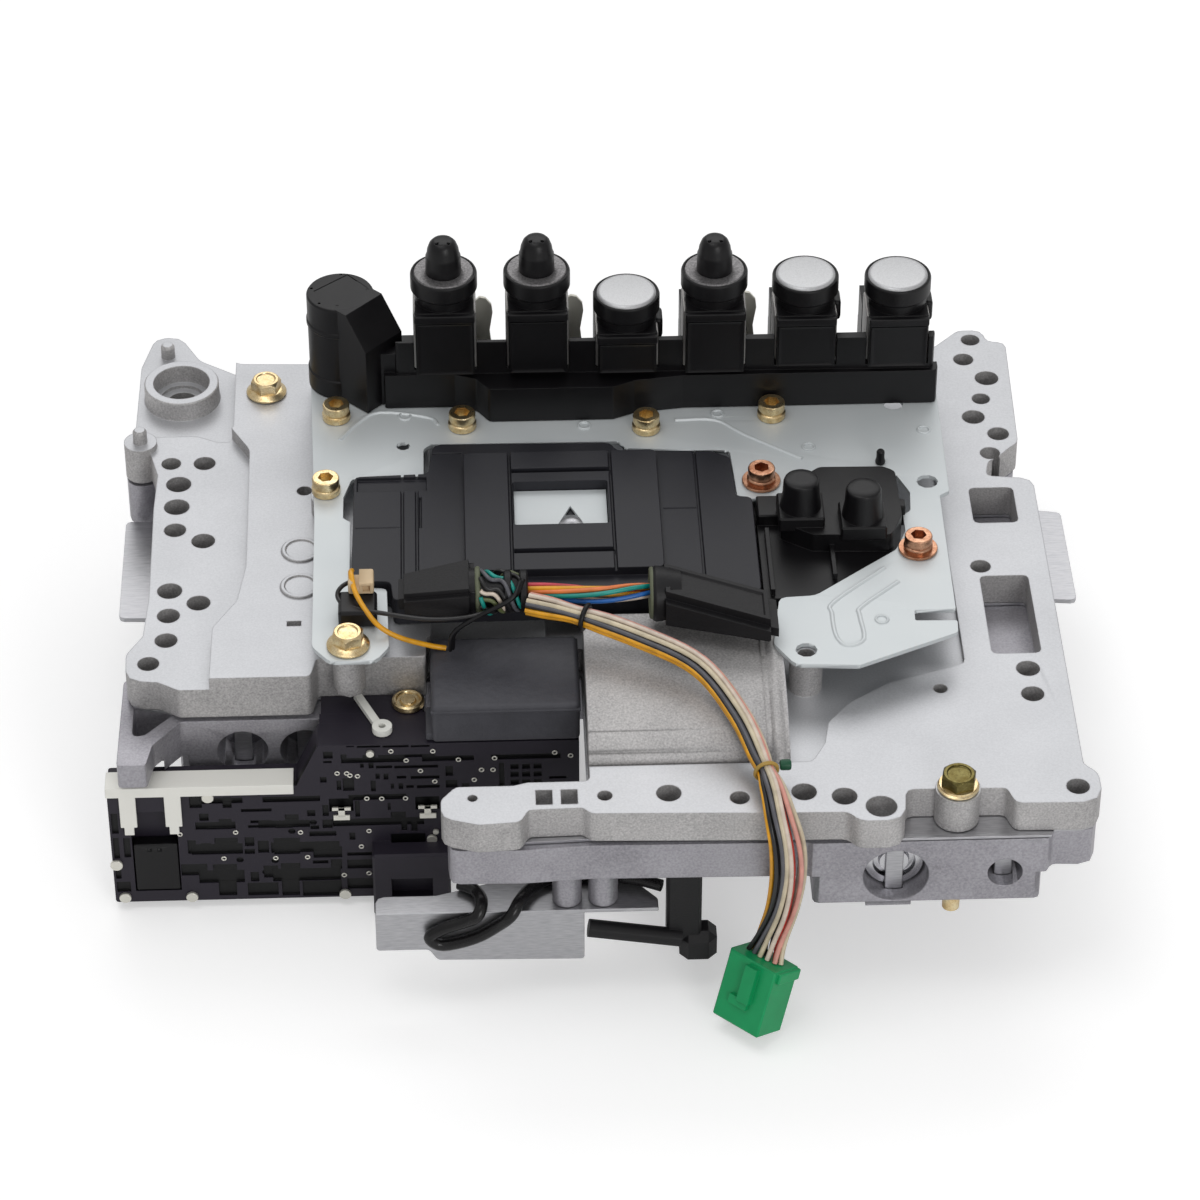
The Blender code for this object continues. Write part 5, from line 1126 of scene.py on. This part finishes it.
# Each pocket: its left, lower, right and upper edge
POCKETS = (
    (-90.1, 28.6, -87.3, 29.2), (-86.3, 28.2, -78.3, 29.1), (-77.5, 28, -68.5, 29),
    (-67.7, 27.9, -61.2, 28.8), (-84.5, 23.6, -80.1, 24.9), (-79.2, 23.3, -59.3, 24.7),
    (-85.5, 19.1, -84.3, 21), (-82.6, 18.8, -80.9, 21.2), (-80, 18.6, -74.5, 19.9),
    (-73.7, 18.4, -58.6, 19.7), (-80.3, 13.8, -78.9, 16.3), (-77.5, 13.4, -75.9, 16.2),
    (-73, 13.7, -69.7, 15), (-68.1, 13.4, -58.2, 14.8), (-75.1, 9, -74, 11.5),
    (-72.4, 8.9, -70.9, 11.6), (-69.8, 9.3, -67.2, 10.6), (-66.1, 9.1, -58.2, 10.5),
    (-98.1, 23.6, -94.9, 26.8), (-92.1, 23.2, -90.1, 25.4), (-98.2, 21.6, -95.3, 22.6),
    (-99.6, 12.7, -97.4, 15.3), (-93.9, 9.1, -92.4, 13.5), (-91.8, 8.6, -87.9, 14.5),
    (-82.1, 8.1, -80.4, 13.1), (-99.3, -2.8, -97.2, 2.4), (-104.7, -2.7, -101.9, 0.2),
    (-99.5, -8.4, -96.1, -4.4), (-103.8, -8.8, -100.8, -7), (-104.3, -12.1, -94.9, -9.8),
    (-87.9, -3.5, -86.3, 4), (-76.5, -0.8, -75.5, 2.6), (-75.5, -6.7, -70.3, -1.6),
    (-72, -10.3, -70, -7.3), (-68.5, -10.8, -66.4, -6.5), (-90.3, -14.2, -88.3, -10.8),
    (-75.8, -22.8, -63.7, -11.8), (-103.3, -22.3, -93.2, -17), (-103.6, -25, -98.2, -23.5),
    (-97.3, -27.9, -93.4, -23.1), (-91.4, -21.7, -79.4, -20.1), (-91.5, -27.8, -79.6, -23.5),
    (-107.5, -30.2, -100.5, -28), (-107.7, -40.3, -93.8, -33.1), (-91.8, -37.4, -80.3, -32.3),
    (-115, -31.4, -108.1, -24.4), (-115, -39.8, -108.8, -32.3), (-121.1, -31.1, -116, -25.4),
    (-125.8, -32.8, -122.9, -28.2), (-138.9, -30.1, -130.5, -24.2), (-137.3, -39.1, -131, -32.1),
    (-127.1, -39.4, -116.3, -33.4), (-150.1, -29.2, -140.9, -23.8), (-137.7, -19.5, -129.6, -11.8),
    (-127.1, -16, -123.8, -11.8), (-127.4, -19.7, -123.8, -17.3), (-122.6, -19.3, -118.8, -13.6),
    (-117, -20.2, -107.9, -12.5), (-147.2, -19, -144.3, -12.6), (-142.5, -17.5, -139, -14.1),
    (-142.8, -19.5, -139.1, -18.3), (-127.7, 0, -117.1, 1.4), (-124.7, -5.3, -117.3, -4),
    (-125.6, -7.5, -117.4, -6.2), (-116.1, -7.9, -110, -5.2), (-112.6, -4.7, -107.8, -1.6),
    (-140, -7.8, -131.4, -6), (-135.7, -5.1, -131.3, -3), (-142.4, -3.7, -139.2, -0.3),
    (-128.4, 9, -115, 11), (-134, 2.1, -130.9, 7.1), (-145.5, 2.4, -141.2, 8.6),
    (-173.2, -8.7, -170.9, 0.7), (-169, -8.8, -167.6, -2.7), (-173.2, -20.4, -171.2, -10.6),
    (-169.6, -19.9, -167.3, -10.8), (-173.2, -29.9, -171.3, -25.3), (-173.2, -36.2, -168.3, -31.4),
    (-56, 9, -52, 12.6), (-56, 14.4, -53.4, 19), (-50.4, 8, -47.8, 11), (-37.4, 9, -35.6, 20),
    *[(-33.4 + 4 * i, 9.6 + 3.6 * k, -30.6 + 4 * i, 12 + 3.6 * k)
      for k in range(3) for i in range(3)],
    (-20, 12, -14, 13.2),
)
board = from_solid("position_switch", "switch_board")
pockets = [
    block("pocket", (x0, FACE - 1, z0), (x1, FACE + POCKET_DEPTH, z1))
    for x0, z0, x1, z1 in POCKETS
]
combine(board, [join("pockets", pockets)])
combine(board, [
    cylinder("round pocket", (x, FACE - 1, z), 2.6, 1.9, axis="Y", vertices=20)
    for x, z in ((-120.4, -28.4), (-102.8, -5.6), (-129.2, -22.4), (-110.4, -9.5), (-116.9, -23.1))
])
CLIPS = (-92.7, -62.6)
combine(board, [
    block("recess", (x - 4.2, FACE - 1, -0.8), (x + 4.2, FACE + 2.4, 5.2)) for x in CLIPS
])
soften(board, 0.2, 1)
maze = plastic("plum black nylon", rgb(40, 36, 44), 0.44)
x, y, z = maze.axes()
# Painted shade: the floors and walls of the pockets and recesses are coloured near black, and the
# face keeps the plum-black nylon.
pocket_shade = y.between(FACE + 0.4, FACE + 2.8, 0.2) * (z < 28.5)
maze.set(**{"Base Color": maze.mix(pocket_shade, rgb(36, 32, 42), rgb(2, 2, 3))})
seat(board, maze, "position_switch")
print("switch board", len(board.data.polygons), "faces")

# %% Contacts of the switch board
clips = []
for x in CLIPS:
    clips.append(block("clip", (x - 2.9, FACE - 0.9, -4.2), (x + 2.9, FACE - 0.1, -2.0)))
    clips.append(block("clip", (x - 1.2, FACE - 0.9, -2.4), (x + 1.2, FACE - 0.1, 1.6)))
    clips.append(block("clip", (x - 3.3, FACE - 0.9, 0.2), (x + 3.3, FACE - 0.1, 1.6)))
for x, z, diameter in ((-172.6, -22.9, 4.4), (-170.5, -38.4, 4.2), (-146.9, -38.8, 4.2),
                       (-92.7, -39.2, 4.2), (-61.4, -14.1, 3.6), (-60.0, -10.7, 2.0),
                       (-139.0, 7.6, 4.2), (-81.9, 26.0, 2.8)):
    clips.append(cylinder("contact", (x, FACE - 1.2, z), diameter, 1.1, axis="Y", vertices=24))
LOOPS = (
    (-74.7, 26.4), (-60.2, 26), (-69.5, 22.1), (-64.7, 17.2), (-59.8, 12.2), (-83.7, 5),
    (-78.5, 4.8), (-70.2, 4.7), (-83.4, -10.1), (-86.3, -17.3), (-130.1, -9.3), (-107.4, -10),
    (-134.8, -21.4), (-116.6, -21.8), (-105.4, -21.7), (-84, -30), (-92.8, -30.6), (-86.6, 15.4),
    (-90.3, 16.8), (-93.6, 16.9), (-89.2, 15.8), (-149.6, -9.6), (-51.4, 21.9), (-46.1, 12.5),
    (-43.5, 17), (-39.5, 16.9), (-38.9, 22.2), (-18, 24.1), (-12.5, 22.6),
)
clips += [torus("loop", (x, FACE - 0.1, z), 0.75, 0.28, 16, 6, TURNED["Y"]) for x, z in LOOPS]
contacts = join("switch_contacts", clips)
soften(contacts, 0.12, 1)
tin = Finish("tinned steel", rgb(226, 224, 214), 0.32, metallic=0.7)
tin.relief(tin.noise(0.8), 0.03)
seat(contacts, tin)
pins = join("socket_pins", [
    block("pin", (x - 0.8, FACE + 2.0, -38.6), (x + 0.8, FACE + 3.4, -33.8)) for x in (-74.0, -63.6)
])
seat(soften(pins, 0.3, 1), tin)
dress("switch_slider", "slider_block", 0, nylon, body="slider")
bright = Finish("white zinc", rgb(236, 235, 228), 0.45, metallic=0.1).rounded(0.3)
bright.relief(bright.noise(1.2, detail=3.0), 0.02)
dress("switch_rail", "rail_strip", 0.2, bright)

# %% [markdown]
# ## Cover, boots and small wires
# The cover is a soft black moulding with rounded edges. The boots are rubber sleeves over the
# plugs of the control unit, and beside the left one the wires are knotted and taped. The knot is
# made of short curved wires that cross each other round the tape.

# %% Cover and link
cover = block("harness_cover_box", (-60.3, -64.5, 29.8), (-9.2, -26.3, 45.8))
soften(cover, 1.6, 4)
foot = block("foot", (-62.5, -63, 29.8), (-50, -48, 32.8))
combine(cover, [soften(foot, 0.6)], "UNION")
lip = block("lip", (-60.6, -64.9, 43.0), (-8.9, -26.0, 44.0))
combine(cover, [soften(lip, 0.3)], "UNION")
leather = plastic("grained nylon", rgb(62, 62, 67), 0.5, texture=0.25, size=2.4, edge=0.6)
soften(cover)
seat(cover, leather, "harness_cover")
dress("cover_link", "link_rod", 0.5, white)

# %% Boots
def panelled(node, name, smallest):
    """A boot whose large faces are sunk a little inside a rim."""
    boot = from_solid(node, name)
    edit_faces(merge_flat(boot), lambda face: face.area > smallest * MM * MM)
    bpy.ops.mesh.inset(thickness=1.6 * MM, use_individual=True)
    bpy.ops.mesh.inset(thickness=0.5 * MM, depth=-0.7 * MM, use_individual=True)
    bpy.ops.object.mode_set(mode="OBJECT")
    return soften(boot, 0.4, 2)


dress("left_boot", "left_boot_rubber", 0.8, rubber, segments=3)
right = panelled("right_boot", "right_boot_rubber", 260)
bell = lathe("bell", [(9.2, 17.2), (9.8, 18.2), (9.6, 20.5), (8.6, 24.0), (8.0, 27.0)],
             (0, -28.6, 65.2), axis="X", vertices=40)
seat(right, rubber, "right_boot")
seat(bell, rubber, "right_boot")
mould = plastic("grey green rubber", rgb(88, 92, 74), 0.5)
for name, x, y, z, radius in (("left_ring", -43.4, -24.6, 65.6, 7.2),
                              ("right_ring", 17.0, -28.4, 65.4, 8.2)):
    ring = torus(name, (x, y, z), radius, 1.0, 36, 10, TURNED["X"])
    bpy.ops.object.shade_smooth()
    seat(ring, mould)

# %% Knot of wires at the left boot
KNOT = (("teal", 0.0, 6.4), ("black", 1.3, 6.6), ("moss", 2.4, 6.6), ("black", 3.3, 6.8),
        ("moss", 4.2, 6.5), ("black", 5.2, 6.6), ("teal", 2.9, 6.9), ("grey", 0.6, 6.9),
        ("white", 1.9, 6.2))
knots = []
for index, (colour, start, radius) in enumerate(KNOT):
    points = []
    for step in range(25):
        t = step / 24
        angle = start + 3.4 * t + 0.5 * math.sin(7 * t + index)
        r = radius + 0.7 * math.sin(9 * t + 2 * index) - 1.6 * max(0, t - 0.7)
        points.append(Vector((-42.5 + 14.5 * t, -26.6 + r * math.cos(angle),
                              66.1 + r * math.sin(angle))))
    knots.append(tube(f"knot_{index}", points, 1.5, WIRES[colour], sides=2))
knot = join("wire_knot", knots)
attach(knot, ROOT)
for name, x in (("tape_band_1", -34.5), ("tape_band_2", -29.0)):
    band = lathe(name, [(6.4, x), (7.5, x + 0.5), (7.6, x + 2.4), (6.4, x + 3.0)],
                 (0, -26.6, 66.1), axis="X", vertices=32)
    seat(band, rubber)

# %% Temperature sensor with its wires
dress("temperature_sensor", "sensor_body", 0.4, nylon)
terminal = block("sensor_terminal", (-88.5, -22.0, 62.4), (-79.5, -13.5, 67.5))
soften(terminal, 0.8)
combine(terminal, [block("slot", (-86.8, -23, 64.6), (-84.6, -12, 69)),
                   block("socket", (-83.4, -23, 63.4), (-80.8, -20.4, 66.2))])
seat(soften(terminal), plastic("cream terminal", rgb(190, 168, 136), 0.5))
yellow_route = smooth_points([
    (-87.2, -13.6, 66.5), (-87.4, -17.0, 67.6), (-85.6, -25.0, 65.0), (-80.3, -33.0, 60.5),
    (-75.5, -35.7, 57.0), (-69.0, -35.6, 53.0), (-60.2, -34.0, 48.6), (-55.0, -33.5, 47.0),
], 6)
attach(tube("yellow_wire", yellow_route, 1.9, WIRES["yellow"]), ROOT)
black_route = smooth_points([
    (-84.0, -13.6, 63.6), (-90.6, -17.5, 62.8), (-92.2, -22.0, 61.5), (-88.0, -27.5, 61.5),
    (-73.3, -33.0, 62.0), (-60.0, -36.0, 62.0), (-48.4, -36.6, 63.0), (-38.0, -35.6, 65.0),
], 6)
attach(tube("black_wire", black_route, 1.6, WIRES["black"]), ROOT)
strap_route = smooth_points([(-53.5, -38.6, 50.0), (-52.0, -38.6, 58.0), (-43.5, -37.2, 63.6),
                             (-32.0, -35.4, 69.6), (-28.5, -30.0, 73.4)], 6)
beside = [p + Vector((0.9, 0.9, 0)) for p in strap_route]
strap = join("strap", [tube("flat_strap", strap_route, 1.6, nylon),
                       tube("strap_edge", beside, 1.6, nylon)])
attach(strap, ROOT)

# %% [markdown]
# ## Speed sensor
# The sensor hangs under the front strip on a folded steel bracket. Its cable runs along the shelf
# and turns back on itself in front of the flange.

# %% Speed sensor and its cable
dress("revolution_sensor", "speed_probe", 0.5, rubber)
ON_SHELF, IN_FRONT = -2.5, -115.5
cable_route = (
    (17.4, -104.5, ON_SHELF), (9, -101, ON_SHELF), (-4, -98.6, ON_SHELF), (-18, -98.8, ON_SHELF),
    (-27, -104, ON_SHELF + 0.2), (-31.5, -112, ON_SHELF + 1.2), (-34.5, IN_FRONT - 0.4, -4.3),
    (-39, IN_FRONT, -9), (-47, IN_FRONT, -14.5), (-58, IN_FRONT, -17.5), (-62.5, IN_FRONT, -14),
    (-58, IN_FRONT, -10), (-50, IN_FRONT, -6.8), (-46, IN_FRONT - 0.4, -4),
    (-44.5, -112, ON_SHELF + 1.2), (-46.5, -105, ON_SHELF + 0.2), (-52, -101, ON_SHELF),
)
sleeve = plastic("black sleeve", rgb(18, 17, 18), 0.24)
cable = tube("speed_cable", smooth_points(cable_route, 5), 4.4, sleeve, sides=4)
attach(cable, ROOT)
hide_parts("sensor_cable")
dress("sensor_bracket", "sensor_holder", 0.3, steel)

# %% [markdown]
# ## The solids that keep their shape
# Flat sheet and the coil spring already have the right form. They keep it, and get a finish each.

# %% Finishes of the plain solids
PLAIN = {"separator_plate": steel, "support_plate": steel, "regulator_spring": ground}
for name, finish in PLAIN.items():
    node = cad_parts[name]
    node.data.materials.clear()
    node.data.materials.append(finish.material)

# %% Leave nothing selected
bpy.ops.object.select_all(action="DESELECT")
